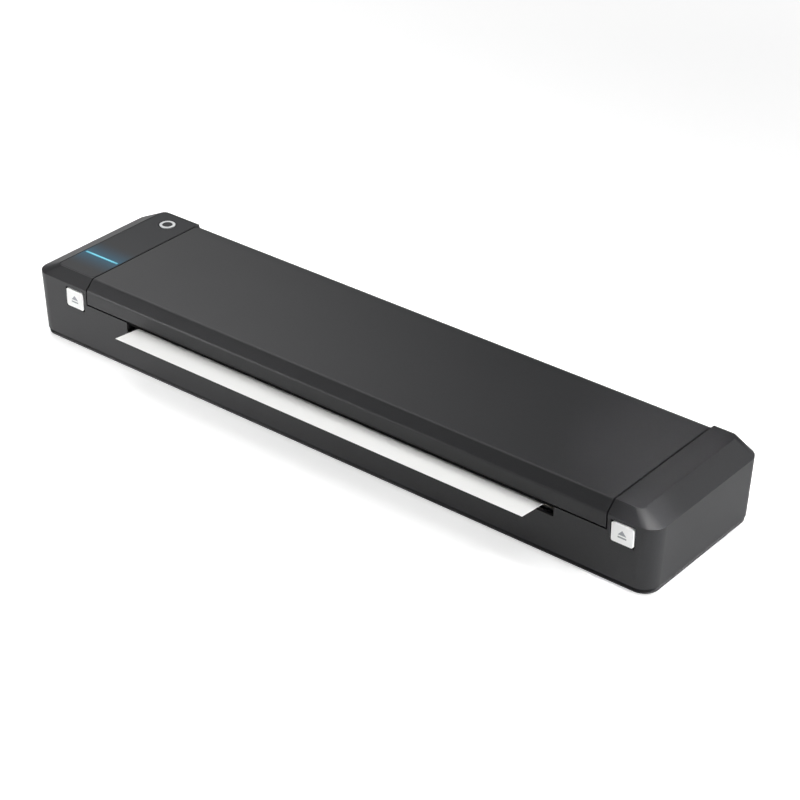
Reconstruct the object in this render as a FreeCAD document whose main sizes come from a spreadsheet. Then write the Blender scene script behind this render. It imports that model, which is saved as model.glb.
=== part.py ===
import FreeCAD, Part
import math
import os
import Sketcher

# Portable A4 thermal printer: roll-fed, hinged cover with the platen roller, print head in the base.
# Millimetres, +Z up, front face towards -Y, origin on the table under the middle of the case.
SIZES = {
    "paper_width": 210.0, "platen_margin": 4.0, "slot_margin": 5.5, "cover_margin": 28.8,
    "left_cap": 31.7, "right_cap": 21.7, "case_depth": 71.0, "case_height": 34.4, "case_wall": 2.0,
    "end_taper": 1.5, "corner_round": 7.0, "crown_round": 3.0,
    "bevel_run": 4.4, "bevel_drop": 4.3, "end_run": 9.6, "rear_run": 1.0,
    "foot_stand": 1.0, "foot_width": 9.0, "base_plate": 1.9, "base_seam": 0.3, "base_inset": 0.5,
    "cover_gap": 0.6, "lip_seam": 0.35, "lip_drop": 10.9, "bulkhead": 1.4, "hinge_round": 4.5,
    "hinge_pin": 3.0, "slot_depth": 4.7, "running_fit": 0.05, "web_thick": 0.15, "paper_overhang": 12.1,
    "paper_drop": 1.8, "paper_rise": 5.0, "nip_setback": 9.5, "nip_gap": 0.2, "roll_setback": 26.0,
    "roll_headroom": 9.4, "core_dia": 12.4, "core_wall": 1.3, "trough_gap": 0.4, "trough_wall": 1.2,
    "platen_dia": 9.0, "platen_shaft": 5.0, "bush_dia": 8.0, "slot_play": 0.4,
    "sheet_steel": 1.2, "plate_margin": 2.0, "head_depth": 11.5, "head_thick": 1.0, "sink_thick": 4.0,
    "bead_height": 0.7, "guide_round": 2.0, "gear_face": 3.5, "stud_dia": 2.4,
    "platen_teeth": 18.0, "idler_teeth": 26.0, "small_teeth": 14.0, "large_teeth": 30.0,
    "pinion_teeth": 12.0, "motor_headroom": 14.4, "motor_setback": 10.7, "motor_shaft": 2.0,
    "release_width": 10.2, "release_height": 8.6, "release_rise": 0.4, "release_travel": 1.5,
    "release_proud": 0.3, "button_play": 0.3, "panel_thick": 1.2, "panel_gap": 0.12,
    "bar_margin": 12.9, "bar_width": 1.1, "bar_setback": 20.6, "power_dia": 7.6, "power_setback": 9.9,
    "ring_dia": 7.0, "ring_stroke": 1.15, "power_travel": 0.5, "board_thick": 1.6,
    "battery_gap": 17.4, "battery_play": 0.8, "screw_dia": 2.4,
    "usb_width": 9.0, "usb_height": 3.2, "usb_setback": 60.5, "usb_play": 0.4, "usb_length": 7.3,
    "tear_pitch": 6.0, "battery_inset": 6.0, "sensor_width": 6.0,
    "tear_thick": 0.6, "tear_depth": 0.9, "tear_gap": 0.2, "overcut": 1.0, "boss_inset": 10.0,
    "boss_setback": 7.5, "boss_wall": 2.0, "boss_height": 11.0, "boss_roof": 1.5, "gusset_thick": 1.6,
    "hinge_clear": 0.4, "pin_depth": 6.0, "pin_end": 0.8, "latch_setback": 6.3, "latch_drop": 4.0,
    "latch_thick": 2.8, "latch_clear": 0.5, "latch_reach": 5.0, "latch_inset": 1.5, "nose_width": 1.7,
    "nose_inset": 0.9, "leaf_pitch": 1.2, "leaf_thick": 0.4, "leaf_width": 4.0, "spring_play": 0.25,
    "stop_reach": 8.0, "cap_depth": 4.6, "cap_corner": 0.7, "guard_lip": 0.6, "guard_gap": 0.1,
    "guard_thick": 1.2, "keeper_width": 3.4, "keeper_wall": 0.7, "keeper_gap": 0.3, "keeper_foot": 1.5,
    "panel_end": 0.3, "panel_inner": 0.35, "panel_front": 0.5, "panel_rear": 0.6, "control_drop": 8.6,
    "well_gap": 0.6, "flange_lip": 0.7, "power_play": 0.2, "rail_thick": 1.4, "rail_inset": 2.0,
    "rail_gap": 3.0, "motor_back": 42.5, "motor_down": 22.288, "foot_inset": 24.0, "foot_setback": 11.0,
    "foot_edge": 0.5, "board_stand": 4.0, "board_length": 90.0, "board_gap": 1.4, "board_setback": 2.4,
    "usb_from_end": 24.0, "stand_inset": 3.0, "stand_margin": 1.0, "liner_thick": 1.2, "liner_setback": 7.0,
    "bracket_thick": 3.0, "bracket_gap": 0.8, "guide_run": 8.5, "tray_play": 1.0, "tray_cheek": 1.5,
    "head_side": 0.8, "lug_dia": 3.6, "fin_width": 1.5, "fin_depth": 2.2, "spring_width": 8.0,
    "deck_gap": 0.4, "deck_thick": 1.2, "gate_margin": 2.5, "channel_gap": 0.8, "channel_reach": 6.4,
}
# Lengths that follow from the others: the paper width sets the lengths, the case height the mechanism.
FOLLOWING = {
    "platen_length": "=paper_width + 2 * platen_margin", "slot_width": "=paper_width + 2 * slot_margin",
    "cover_length": "=paper_width + 2 * cover_margin", "case_length": "=cover_length + left_cap + right_cap",
    "cover_shift": "=(left_cap - right_cap) / 2", "parting_height": "=case_height - lip_drop",
    "paper_height": "=parting_height - paper_drop", "release_level": "=parting_height + release_rise",
    "roll_dia": "=case_height - roll_headroom", "motor_dia": "=case_height - motor_headroom",
    "gear_module": "=case_height / 68.8", "motor_length": "=left_cap - motor_setback",
    "bar_length": "=left_cap - bar_margin",
}

doc = FreeCAD.newDocument("ThermalPrinter")
sheet = doc.addObject("Spreadsheet::Sheet", "Sizes")
for row, (alias, content) in enumerate({**SIZES, **FOLLOWING}.items(), 1):
    sheet.set(f"A{row}", alias)
    sheet.set(f"B{row}", str(content))
    sheet.setAlias(f"B{row}", alias)
doc.recompute()


class Size:
    """A length that knows both its present value and the sheet expression it comes from."""

    def __init__(self, value, text):
        self.value = float(value)
        self.text = text

    def _join(self, other, sign, value):
        other_text = other.text if isinstance(other, Size) else repr(float(other))
        return Size(value, f"({self.text} {sign} {other_text})")

    def __add__(self, other):
        return self._join(other, "+", self.value + number_of(other))

    def __sub__(self, other):
        return self._join(other, "-", self.value - number_of(other))

    def __mul__(self, other):
        return self._join(other, "*", self.value * number_of(other))

    def __truediv__(self, other):
        return self._join(other, "/", self.value / number_of(other))

    def __neg__(self):
        return Size(-self.value, f"(0 - {self.text})")


def number_of(length):
    return length.value if isinstance(length, Size) else float(length)


def text_of(length):
    return length.text if isinstance(length, Size) else repr(float(length))


def size(alias):
    return Size(getattr(sheet, alias), f"Sizes.{alias}")


def slope(alias):
    """Tangent of an angle kept in the sheet in degrees."""
    return Size(math.tan(math.radians(getattr(sheet, alias))), f"tan(Sizes.{alias} * 1 deg)")


def box(name, x, y, z):
    """Block between two planes along each axis."""
    block = doc.addObject("Part::Box", name)
    for prop, axis, (low, high) in zip(("Length", "Width", "Height"), "xyz", (x, y, z)):
        span = high - low if isinstance(high, Size) else Size(high, repr(float(high))) - low
        block.setExpression(prop, span.text)
        block.setExpression(f"Placement.Base.{axis}", text_of(low))
    return block


TURNS = {"x": ((0, 1, 0), 90), "y": ((1, 0, 0), -90), "z": ((0, 0, 1), 0)}


def rod(name, axis, centre, span, dia):
    """Round bar along an axis; centre gives the two other coordinates in x, y, z order."""
    bar = doc.addObject("Part::Cylinder", name)
    direction, angle = TURNS[axis]
    bar.Placement = FreeCAD.Placement(FreeCAD.Vector(), FreeCAD.Rotation(FreeCAD.Vector(*direction), angle))
    bar.setExpression("Radius", (dia / 2).text if isinstance(dia, Size) else repr(dia / 2))
    low, high = span
    length = high - low if isinstance(high, Size) else Size(high, repr(float(high))) - low
    bar.setExpression("Height", length.text)
    places = list(centre)
    places.insert("xyz".index(axis), low)
    for letter, place in zip("xyz", places):
        bar.setExpression(f"Placement.Base.{letter}", text_of(place))
    return bar


def around(middle, half):
    """Span that reaches as far to each side of its middle."""
    return middle - half, middle + half


def square_seat(name, x, spot, width):
    """Square hole along X for a round bar."""
    half = width / 2
    return box(name, x, around(spot[0], half), around(spot[1], half))


def cone(name, centre, span, low_dia, high_dia):
    """Upright round taper between two levels."""
    taper = doc.addObject("Part::Cone", name)
    taper.setExpression("Radius1", (low_dia / 2).text)
    taper.setExpression("Radius2", (high_dia / 2).text)
    taper.setExpression("Height", (span[1] - span[0]).text)
    for letter, place in zip("xyz", (*centre, span[0])):
        taper.setExpression(f"Placement.Base.{letter}", text_of(place))
    return taper


def joined(kind, name, shapes):
    whole = doc.addObject(kind, name)
    whole.Shapes = shapes
    return whole


def fuse(name, *shapes):
    return joined("Part::MultiFuse", name, list(shapes))


def common(name, *shapes):
    return joined("Part::MultiCommon", name, list(shapes))


def cut(name, base, *tools):
    result = doc.addObject("Part::Cut", name)
    result.Base = base
    result.Tool = tools[0] if len(tools) == 1 else fuse(name + "_tools", *tools)
    return result


def group(name, *shapes):
    """Several separate solids kept together as one sub-part."""
    together = doc.addObject("Part::Compound", name)
    together.Links = list(shapes)
    return together


def new_sketch(body, role, level):
    sketch = body.newObject("Sketcher::SketchObject", body.Name + "_sketch")
    plane = [feature for feature in body.Origin.OriginFeatures if feature.Role == role][0]
    sketch.AttachmentSupport = [(plane, "")]
    sketch.MapMode = "FlatFace"
    sketch.setExpression("AttachmentOffset.Base.z", text_of(level))
    return sketch


def pin_coordinate(sketch, kind, geometry, point, length):
    index = sketch.addConstraint(Sketcher.Constraint(kind, -1, 1, geometry, point, number_of(length)))
    if isinstance(length, Size):
        sketch.setExpression(f"Constraints[{index}]", length.text)


def polygon(sketch, points):
    """Closed outline whose corner coordinates are all driven by the sheet."""
    count = len(points)
    spots = [FreeCAD.Vector(number_of(across), number_of(along), 0) for across, along in points]
    for index in range(count):
        sketch.addGeometry(Part.LineSegment(spots[index], spots[(index + 1) % count]), False)
    for index in range(count):
        sketch.addConstraint(Sketcher.Constraint("Coincident", index, 2, (index + 1) % count, 1))
    for index, (across, along) in enumerate(points):
        pin_coordinate(sketch, "DistanceX", index, 1, across)
        pin_coordinate(sketch, "DistanceY", index, 1, along)


def rounded_outline(sketch, x, y, radius):
    """Rectangle between x and y limits with four equal corner arcs."""
    low_x, high_x, low_y, high_y = (number_of(limit) for limit in (*x, *y))
    r = number_of(radius)
    corners = [(high_x - r, low_y + r, -90), (high_x - r, high_y - r, 0),
               (low_x + r, high_y - r, 90), (low_x + r, low_y + r, 180)]
    arcs = []
    for centre_x, centre_y, start in corners:
        circle = Part.Circle(FreeCAD.Vector(centre_x, centre_y, 0), FreeCAD.Vector(0, 0, 1), r)
        arcs.append(Part.ArcOfCircle(circle, math.radians(start), math.radians(start + 90)))
    order = []
    for index, arc in enumerate(arcs):
        previous = arcs[index - 1]
        sketch.addGeometry(Part.LineSegment(previous.EndPoint, arc.StartPoint), False)
        order.append(sketch.addGeometry(arc, False))
    for index in range(8):
        sketch.addConstraint(Sketcher.Constraint("Tangent", index, 2, (index + 1) % 8, 1))
    for line, kind in ((0, "Horizontal"), (2, "Vertical"), (4, "Horizontal"), (6, "Vertical")):
        sketch.addConstraint(Sketcher.Constraint(kind, line))
    for arc in order[1:]:
        sketch.addConstraint(Sketcher.Constraint("Equal", order[0], arc))
    index = sketch.addConstraint(Sketcher.Constraint("Radius", order[0], r))
    if isinstance(radius, Size):
        sketch.setExpression(f"Constraints[{index}]", radius.text)
    pin_coordinate(sketch, "DistanceY", 0, 1, y[0])
    pin_coordinate(sketch, "DistanceX", 2, 1, x[1])
    pin_coordinate(sketch, "DistanceY", 4, 1, y[1])
    pin_coordinate(sketch, "DistanceX", 6, 1, x[0])


def prism(name, points, x):
    """Outline in the Y-Z plane carried along X."""
    body = doc.addObject("PartDesign::Body", name)
    sketch = new_sketch(body, "YZ_Plane", x[0])
    polygon(sketch, points)
    pad = body.newObject("PartDesign::Pad", name + "_pad")
    pad.Profile = sketch
    pad.setExpression("Length", (x[1] - x[0]).text)
    return body


def plate(name, x, y, radius, z):
    """Flat plate with rounded corners."""
    body = doc.addObject("PartDesign::Body", name)
    sketch = new_sketch(body, "XY_Plane", z[0])
    rounded_outline(sketch, x, y, radius)
    pad = body.newObject("PartDesign::Pad", name + "_pad")
    pad.Profile = sketch
    pad.setExpression("Length", (z[1] - z[0]).text)
    return body


def cornered(sketch, x, y, corner):
    """Rectangle between x and y limits with its four corners cut off at 45 degrees."""
    polygon(sketch, [(x[0] + corner, y[0]), (x[1] - corner, y[0]), (x[1], y[0] + corner),
                     (x[1], y[1] - corner), (x[1] - corner, y[1]), (x[0] + corner, y[1]),
                     (x[0], y[1] - corner), (x[0], y[0] + corner)])


def facing_plate(name, x, z, corner, y):
    """Block with its corners cut off that faces the front, between two planes along Y."""
    body = doc.addObject("PartDesign::Body", name)
    sketch = new_sketch(body, "XZ_Plane", -y[1])
    cornered(sketch, x, z, corner)
    pad = body.newObject("PartDesign::Pad", name + "_pad")
    pad.Profile = sketch
    pad.setExpression("Length", (y[1] - y[0]).text)
    return body


def ruled_block(name, outline, sections):
    """Ruled loft through outlines of one kind, each given as (x, y, corner, level)."""
    body = doc.addObject("PartDesign::Body", name)
    sketches = []
    for x, y, corner, level in sections:
        sketch = new_sketch(body, "XY_Plane", level)
        outline(sketch, x, y, corner)
        sketches.append(sketch)
    loft = body.newObject("PartDesign::AdditiveLoft", name + "_loft")
    loft.Profile = sketches[0]
    loft.Sections = sketches[1:]
    loft.Ruled = True
    return body


# Reference planes of the case and of the cover.
half_length = size("case_length") / 2
half_depth = size("case_depth") / 2
front = -half_depth
rear = half_depth
top = size("case_height")
wall = size("case_wall")
crease = top - size("bevel_drop")
under = size("foot_stand")
floor = under + size("base_plate")
skirt = floor + size("base_seam")
cover_left = size("cover_shift") - size("cover_length") / 2
cover_right = size("cover_shift") + size("cover_length") / 2
parting = size("parting_height")
bulkhead = size("bulkhead")
bay_left = cover_left - size("cover_gap")
bay_right = cover_right + size("cover_gap")
cap_left = bay_left - bulkhead
cap_right = bay_right + bulkhead
hinge_y = rear - size("hinge_round")
hinge_z = top - size("hinge_round")
fit = size("running_fit")
over = size("overcut")
print_centre = size("cover_shift")

# Outer form of the whole case: slightly tapered ends, 45 degree front bevel, long shallow end chamfers.
foot_x = half_length - size("end_taper")
crown_x = half_length - size("end_run")
envelope = ruled_block("case_form", rounded_outline, [
    ((-foot_x, foot_x), (front, rear), size("corner_round"), skirt),
    ((-half_length, half_length), (front, rear), size("corner_round"), crease),
    ((-crown_x, crown_x), (front + size("bevel_run"), rear - size("rear_run")), size("crown_round"), top)])
inner_x = half_length - wall
inner_crown_x = crown_x - wall * 0.2
inner_y = (front + wall, rear - wall)
inner_corner = (size("corner_round") - wall) * 0.6
cavity = ruled_block("case_hollow", cornered, [
    ((wall - foot_x, foot_x - wall), inner_y, inner_corner, skirt - over),
    ((-inner_x, inner_x), inner_y, inner_corner, crease - wall),
    ((-inner_crown_x, inner_crown_x),
     (front + size("bevel_run") + wall * 0.3, rear - wall - size("rear_run")),
     inner_corner * 0.5, top - wall)])
shell = cut("case_shell", envelope, cavity)

# Paper line: leaves the nip, passes the slot and rises a little towards its free edge.
rise = slope("paper_rise")
nip_y = front + size("nip_setback")
nip_z = size("paper_height") - size("nip_setback") * rise
half_web = size("web_thick") / 2
roll_y = nip_y + size("roll_setback")
platen_z = nip_z + half_web + size("nip_gap") + size("platen_dia") / 2
trough_round = size("roll_dia") / 2 + size("trough_gap")
roll_z = floor + size("trough_wall") + trough_round
paper_left = print_centre - size("paper_width") / 2
paper_right = print_centre + size("paper_width") / 2
plate_left = print_centre - size("platen_length") / 2 - size("plate_margin")
plate_right = print_centre + size("platen_length") / 2 + size("plate_margin")
steel = size("sheet_steel")

# Main housing: front wall, end caps and rear wall in one moulding, open below and under the cover.
front_opening = box("front_opening", (bay_left, bay_right), (front - over, front / 2),
                    (parting - size("lip_seam"), top + over))
rear_wall_top = hinge_z - size("hinge_round") - size("hinge_clear")
rear_opening = box("rear_opening", (bay_left, bay_right), (front / 2 - over, rear + over),
                   (rear_wall_top, top + over))
slot_half = size("slot_width") / 2
paper_slot = box("paper_slot", around(print_centre, slot_half),
                 (front - over, front + wall + over), (parting - size("slot_depth"), parting))
open_shell = cut("open_shell", shell, front_opening, rear_opening, paper_slot)
bulkhead_left = common("bulkhead_left", envelope, box("bulkhead_left_slab", (cap_left, bay_left),
                                                     (front, rear), (skirt, top + over)))
bulkhead_right = common("bulkhead_right", envelope, box("bulkhead_right_slab", (bay_right, cap_right),
                                                       (front, rear), (skirt, top + over)))
boss_x = half_length - size("boss_inset")
boss_y = half_depth - size("boss_setback")
pilot_half = size("screw_dia") / 2
boss_half = pilot_half + size("boss_wall")
boss_top = floor + size("boss_height")
boss_roof = size("boss_roof")
gusset_half = size("gusset_thick") / 2
bosses = []
pilots = []
for side, end in (("left", -1.0), ("right", 1.0)):
    for place, way in (("front", -1.0), ("rear", 1.0)):
        spot = (boss_x * end, boss_y * way)
        bosses.append(box(f"boss_{side}_{place}", around(spot[0], boss_half),
                          around(spot[1], boss_half), (floor, boss_top)))
        pilots.append(box(f"pilot_{side}_{place}", around(spot[0], pilot_half),
                          around(spot[1], pilot_half), (floor - over, boss_top - boss_roof)))
        gusset_x = (boss_x * end, foot_x - wall * 0.5) if end > 0 else (wall * 0.5 - foot_x, boss_x * end)
        bosses.append(box(f"gusset_{side}_{place}", gusset_x, around(spot[1], gusset_half),
                          (floor + boss_roof, boss_top - boss_roof)))

# Places of the two release buttons, the control panel, the light bar and the power button.
release_low = size("release_level") - size("release_height") / 2
release_high = size("release_level") + size("release_height") / 2
play = size("button_play")
release_x = {"left": (cap_left - play - size("release_width"), cap_left - play),
             "right": (cap_right + play, cap_right + play + size("release_width"))}
nose_y = front + size("latch_setback")
windows = []
for side, (low, high) in release_x.items():
    windows.append(box(f"release_opening_{side}", (low - play, high + play),
                       (front - over, front + wall + over), (release_low - play, release_high + play)))
latch_low = size("release_level") - size("latch_drop")
latch_high = latch_low + size("latch_thick")
latch_clear = size("latch_clear")
arm_rear = nose_y + size("latch_reach")
leaf_count = 5
spring_front = arm_rear + size("spring_play")
spring_rear = spring_front + size("leaf_pitch") * (leaf_count - 1) + size("leaf_thick")
stop_front = spring_rear + size("spring_play")
spring_stops = []
for side, (low, high) in (("left", (cap_left, bay_left)), ("right", (bay_right, cap_right))):
    stop_x = (low - size("stop_reach"), high) if side == "left" else (low, high + size("stop_reach"))
    spring_stops.append(box(f"spring_stop_{side}", stop_x, (stop_front, stop_front + bulkhead),
                            (latch_low - wall, latch_high + wall)))
    windows.append(box(f"latch_window_{side}", (low - over, high + over),
                       (nose_y - latch_clear, arm_rear + size("release_travel") + latch_clear),
                       (latch_low - latch_clear, latch_high + latch_clear)))
panel_left = size("panel_end") - crown_x
panel_right = bay_left - size("panel_inner")
panel_front = front + size("bevel_run") + size("panel_front")
panel_rear = rear - size("rear_run") - size("panel_rear")
panel_floor = top - size("panel_thick")
panel_round = size("crown_round") * 2.0 / 3.0
slack = size("panel_gap")
panel_pocket = plate("panel_pocket", (panel_left - slack, panel_right + slack),
                     (panel_front - slack, panel_rear + slack), panel_round, (panel_floor, top + over))
panel_centre = (panel_left + panel_right) / 2
bar_y = front + size("bar_setback")
bar_low = panel_centre - size("bar_length") / 2
bar_high = panel_centre + size("bar_length") / 2
power_y = rear - size("power_setback")
board_under = top - size("control_drop")
board_top = board_under + size("board_thick")
well = size("well_gap")
bar_half = size("bar_width") / 2
bar_well = box("bar_well", (bar_low - well, bar_high + well),
               (bar_y - bar_half * 2.0 - well, bar_y + bar_half * 2.0 + well), (board_top + well, top))
flange_half = size("power_dia") / 2 + size("flange_lip")
power_well = box("power_well", (panel_centre - flange_half - well, panel_centre + flange_half + well),
                 (power_y - flange_half - well, power_y + flange_half + well), (top - wall - over, top))
motor_y = nip_y + size("gear_module") * size("motor_back")
motor_z = platen_z - size("gear_module") * size("motor_down")
motor_hole = square_seat("motor_hole", (cap_left - over, bay_left + over), (motor_y, motor_z),
                         size("motor_shaft") * 4.0)
hinge = (hinge_y, hinge_z)
hole_dia = size("hinge_pin") + fit
pin_holes = [rod("pin_hole_left", "x", hinge, (cap_left - over, bay_left + over), hole_dia),
             rod("pin_hole_right", "x", hinge, (bay_right - over, cap_right + over), hole_dia)]
usb_x = half_length - size("usb_setback")
board_level = floor + size("board_stand")
usb_low = board_level + size("board_thick")
usb_high = usb_low + size("usb_height")
usb_mid = usb_low + size("usb_height") / 2
usb_reach = size("usb_width") / 2 - size("usb_height") / 2
usb_play = size("usb_play")
usb_cut = (rear - wall - over, rear + over)
usb_hole_parts = [box("usb_hole_mid", around(usb_x, usb_reach), usb_cut,
                      (usb_low - usb_play, usb_high + usb_play))]
for side, spot in (("low", usb_x - usb_reach), ("high", usb_x + usb_reach)):
    usb_hole_parts.append(rod(f"usb_hole_{side}", "y", (spot, usb_mid), usb_cut,
                              size("usb_height") + usb_play * 2.0))
rails = []
for side, low in (("left", panel_left + size("rail_inset")),
                  ("right", panel_right - size("rail_inset") - size("rail_thick"))):
    rails.append(box(f"board_rail_{side}", (low, low + size("rail_thick")),
                     (bar_y + size("rail_gap"), hinge_y - size("hinge_round") * 2.0),
                     (board_top, top - wall + fit)))
housing_solid = fuse("housing_solid", open_shell, bulkhead_left, bulkhead_right, *bosses, *rails,
                     *spring_stops)
main_housing = cut("main_housing", housing_solid, *pilots, *windows, panel_pocket, bar_well, power_well,
                   motor_hole, *pin_holes, *usb_hole_parts)

# Bottom cover with countersunk screw holes and stands for the main board; three rubber strips under it.
inset = size("base_inset")
base_plate = plate("base_plate_form", (inset - foot_x, foot_x - inset), (front + inset, rear - inset),
                   size("corner_round") - inset, (under, floor))
head_dia = size("screw_dia") * 2.0
sinks = []
screws = []
for side, end in (("left", -1.0), ("right", 1.0)):
    for place, way in (("front", -1.0), ("rear", 1.0)):
        spot = (boss_x * end, boss_y * way)
        sinks.append(cone(f"screw_sink_{side}_{place}", spot, (under, floor), head_dia, size("screw_dia")))
        head = cone(f"screw_head_{side}_{place}", spot, (under, floor), head_dia, size("screw_dia"))
        shank = rod(f"screw_shank_{side}_{place}", "z", spot, (floor, boss_top - boss_roof - over),
                    size("screw_dia"))
        screws.append(fuse(f"case_screw_{side}_{place}", head, shank))
foot_half = size("foot_width") / 2
foot_reach = half_depth - size("foot_setback")
foot_place = half_length - size("foot_inset")
foot_edge = size("foot_edge")
foot_corner = foot_half * 0.4
feet = []
for side, middle in (("left", -foot_place), ("middle", foot_place * 0.0), ("right", foot_place)):
    low, high = middle - foot_half, middle + foot_half
    feet.append(ruled_block(f"foot_{side}", cornered, [
        ((low + foot_edge, high - foot_edge), (foot_edge - foot_reach, foot_reach - foot_edge),
         foot_corner, 0.0),
        ((low, high), (-foot_reach, foot_reach), foot_corner, under)]))
board_right = usb_x + size("usb_from_end")
board_left = board_right - size("board_length")
board_front = roll_y + trough_round + size("trough_wall") + size("board_gap")
board_rear = rear - wall - size("board_setback")
stands = []
stand_inset = size("stand_inset")
for index, spot in enumerate((board_left + stand_inset, board_right - stand_inset - wall), 1):
    stands.append(box(f"board_stand_{index}", (spot, spot + wall),
                      (board_front + size("stand_margin"), board_rear - size("stand_margin")),
                      (floor - size("base_plate") / 2, board_level)))
bottom_cover = cut("bottom_cover", fuse("base_with_stands", base_plate, *stands), *sinks)
rubber_feet = group("rubber_feet", *feet)
case_screws = group("case_screws", *screws)

# Top cover: bevelled shell panel with end walls, a rounded hinge barrel and two latch keepers.
cover_zone = box("cover_zone", (cover_left, cover_right), (front - over, hinge_y), (parting, top + over))
cover_skin = common("cover_skin", shell, cover_zone)
end_wall_low = hinge_z - size("hinge_round")
keeper_wall = size("keeper_wall")
keeper_rear = nose_y - size("keeper_gap")
keeper_front = keeper_rear - wall
cover_ends = []
keepers = []
keeper_slots = []
for side, edge, way in (("left", cover_left, 1.0), ("right", cover_right, -1.0)):
    inner = edge + bulkhead * way
    span = (edge, inner) if way > 0 else (inner, edge)
    end_slab = box(f"cover_end_slab_{side}", span, (front, hinge_y), (end_wall_low, top + over))
    cover_ends.append(common(f"cover_end_{side}", envelope, end_slab))
    inner = edge + size("keeper_width") * way
    low, high = (edge, inner) if way > 0 else (inner, edge)
    keepers.append(box(f"keeper_{side}", (low, high), (keeper_front, keeper_rear),
                       (latch_low - latch_clear - size("keeper_foot"), end_wall_low + wall)))
    keeper_slots.append(box(f"keeper_slot_{side}", (low + keeper_wall, high - keeper_wall),
                            (keeper_front - over, keeper_rear + over),
                            (latch_low - latch_clear, latch_high + latch_clear)))
barrel = rod("hinge_barrel", "x", hinge, (cover_left, cover_right), size("hinge_round") * 2.0)
pin_depth = size("pin_depth")
bore_depth = pin_depth + well
bore_dia = size("hinge_pin") + fit * 2.0
pin_bores = [rod("pin_bore_left", "x", hinge, (cover_left - over, cover_left + bore_depth), bore_dia),
             rod("pin_bore_right", "x", hinge, (cover_right - bore_depth, cover_right + over), bore_dia)]
top_cover = cut("top_cover", fuse("cover_solid", cover_skin, *cover_ends, *keepers, barrel),
                *keeper_slots, *pin_bores)
pin_end = size("pin_end")
hinge_pins = group("hinge_pins",
                   rod("hinge_pin_left", "x", hinge, (cap_left - pin_end, cover_left + pin_depth),
                       size("hinge_pin")),
                   rod("hinge_pin_right", "x", hinge, (cover_right - pin_depth, cap_right + pin_end),
                       size("hinge_pin")))

# Liner under the cover with the two brackets that hold the platen bushes.
ceiling = top - wall
liner_low = ceiling - size("liner_thick")
bracket_far = steel + size("bracket_gap") + size("bracket_thick")
bracket_near = steel + size("bracket_gap")
bracket_x = {"left": (plate_left - bracket_far, plate_left - bracket_near),
             "right": (plate_right + bracket_near, plate_right + bracket_far)}
platen = (nip_y, platen_z)
bracket_reach = size("bush_dia") / 2 + over
bracket_low = platen_z - bracket_reach
liner_front = nip_y + size("liner_setback")
bracket_rear = liner_front + size("bush_dia") / 2
liner_side = bulkhead * 2.0
liner_plate = box("liner_plate", (cover_left + liner_side, cover_right - liner_side),
                  (liner_front, hinge_y - size("hinge_round") - wall), (liner_low, ceiling))
brackets = []
bush_holes = []
bushes = []
for side, (low, high) in bracket_x.items():
    brackets.append(prism(f"platen_bracket_{side}", [
        (nip_y - bracket_reach, bracket_low), (nip_y + bracket_reach * 0.92, bracket_low),
        (bracket_rear, liner_low), (bracket_rear, ceiling), (nip_y - bracket_reach * 0.84, ceiling),
        (nip_y - bracket_reach, ceiling - bracket_reach * 0.32)], (low, high)))
    bush_holes.append(square_seat(f"bush_seat_{side}", (low - over, high + over), platen, size("bush_dia")))
    bush_span = (low, plate_left + well) if side == "left" else (plate_right - well, high)
    bush = rod(f"bush_{side}", "x", platen, bush_span, size("bush_dia"))
    bore = rod(f"bush_bore_{side}", "x", platen, (bush_span[0] - over, bush_span[1] + over),
               size("platen_shaft") + fit * 2.0)
    bushes.append(cut(f"platen_bush_{side}", bush, bore))
cover_liner = cut("cover_liner", fuse("liner_solid", liner_plate, *brackets), *bush_holes)
platen_bushes = group("platen_bushes", *bushes)

# Toothed tear bar behind the front lip of the cover.
tear_front = front + wall
tear_half = size("paper_width") / 2
tear_low = parting + size("tear_gap")
tear_strip = box("tear_strip", around(print_centre, tear_half),
                 (tear_front, tear_front + size("tear_thick")), (tear_low, crease - wall - well))
tooth_count = int(round(number_of(size("paper_width") / size("tear_pitch"))))
pitch = sheet.paper_width / tooth_count
start = number_of(print_centre - tear_half)
outline = [FreeCAD.Vector(start, 0, 0)]
for tooth in range(tooth_count):
    outline.append(FreeCAD.Vector(start + (tooth + 0.5) * pitch, 0, sheet.tear_depth))
    outline.append(FreeCAD.Vector(start + (tooth + 1) * pitch, 0, 0))
outline.append(FreeCAD.Vector(outline[-1].x, 0, -sheet.overcut))
outline.append(FreeCAD.Vector(start, 0, -sheet.overcut))
notch = doc.addObject("Part::Feature", "tear_notches")
notch_face = Part.Face(Part.makePolygon(outline + outline[:1]))
notch.Shape = notch_face.extrude(FreeCAD.Vector(0, sheet.tear_thick + 2 * sheet.overcut, 0))
notch.setExpression("Placement.Base.y", (tear_front - over).text)
notch.setExpression("Placement.Base.z", tear_low.text)
tear_bar = cut("tear_bar", tear_strip, notch)

# Platen roller: steel shaft with a rubber sleeve.
shaft_left = bracket_x["left"][0] - bulkhead - size("gear_face")
shaft_right = bracket_x["right"][1] + bulkhead
platen_shaft = rod("platen_shaft", "x", platen, (shaft_left, shaft_right), size("platen_shaft"))
rubber_span = (print_centre - size("platen_length") / 2, print_centre + size("platen_length") / 2)
rubber_sleeve = rod("rubber_sleeve", "x", platen, rubber_span, size("platen_dia"))
rubber_bore = rod("rubber_bore", "x", platen, (rubber_span[0] - over, rubber_span[1] + over),
                  size("platen_shaft"))
platen_rubber = cut("platen_rubber", rubber_sleeve, rubber_bore)

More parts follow.
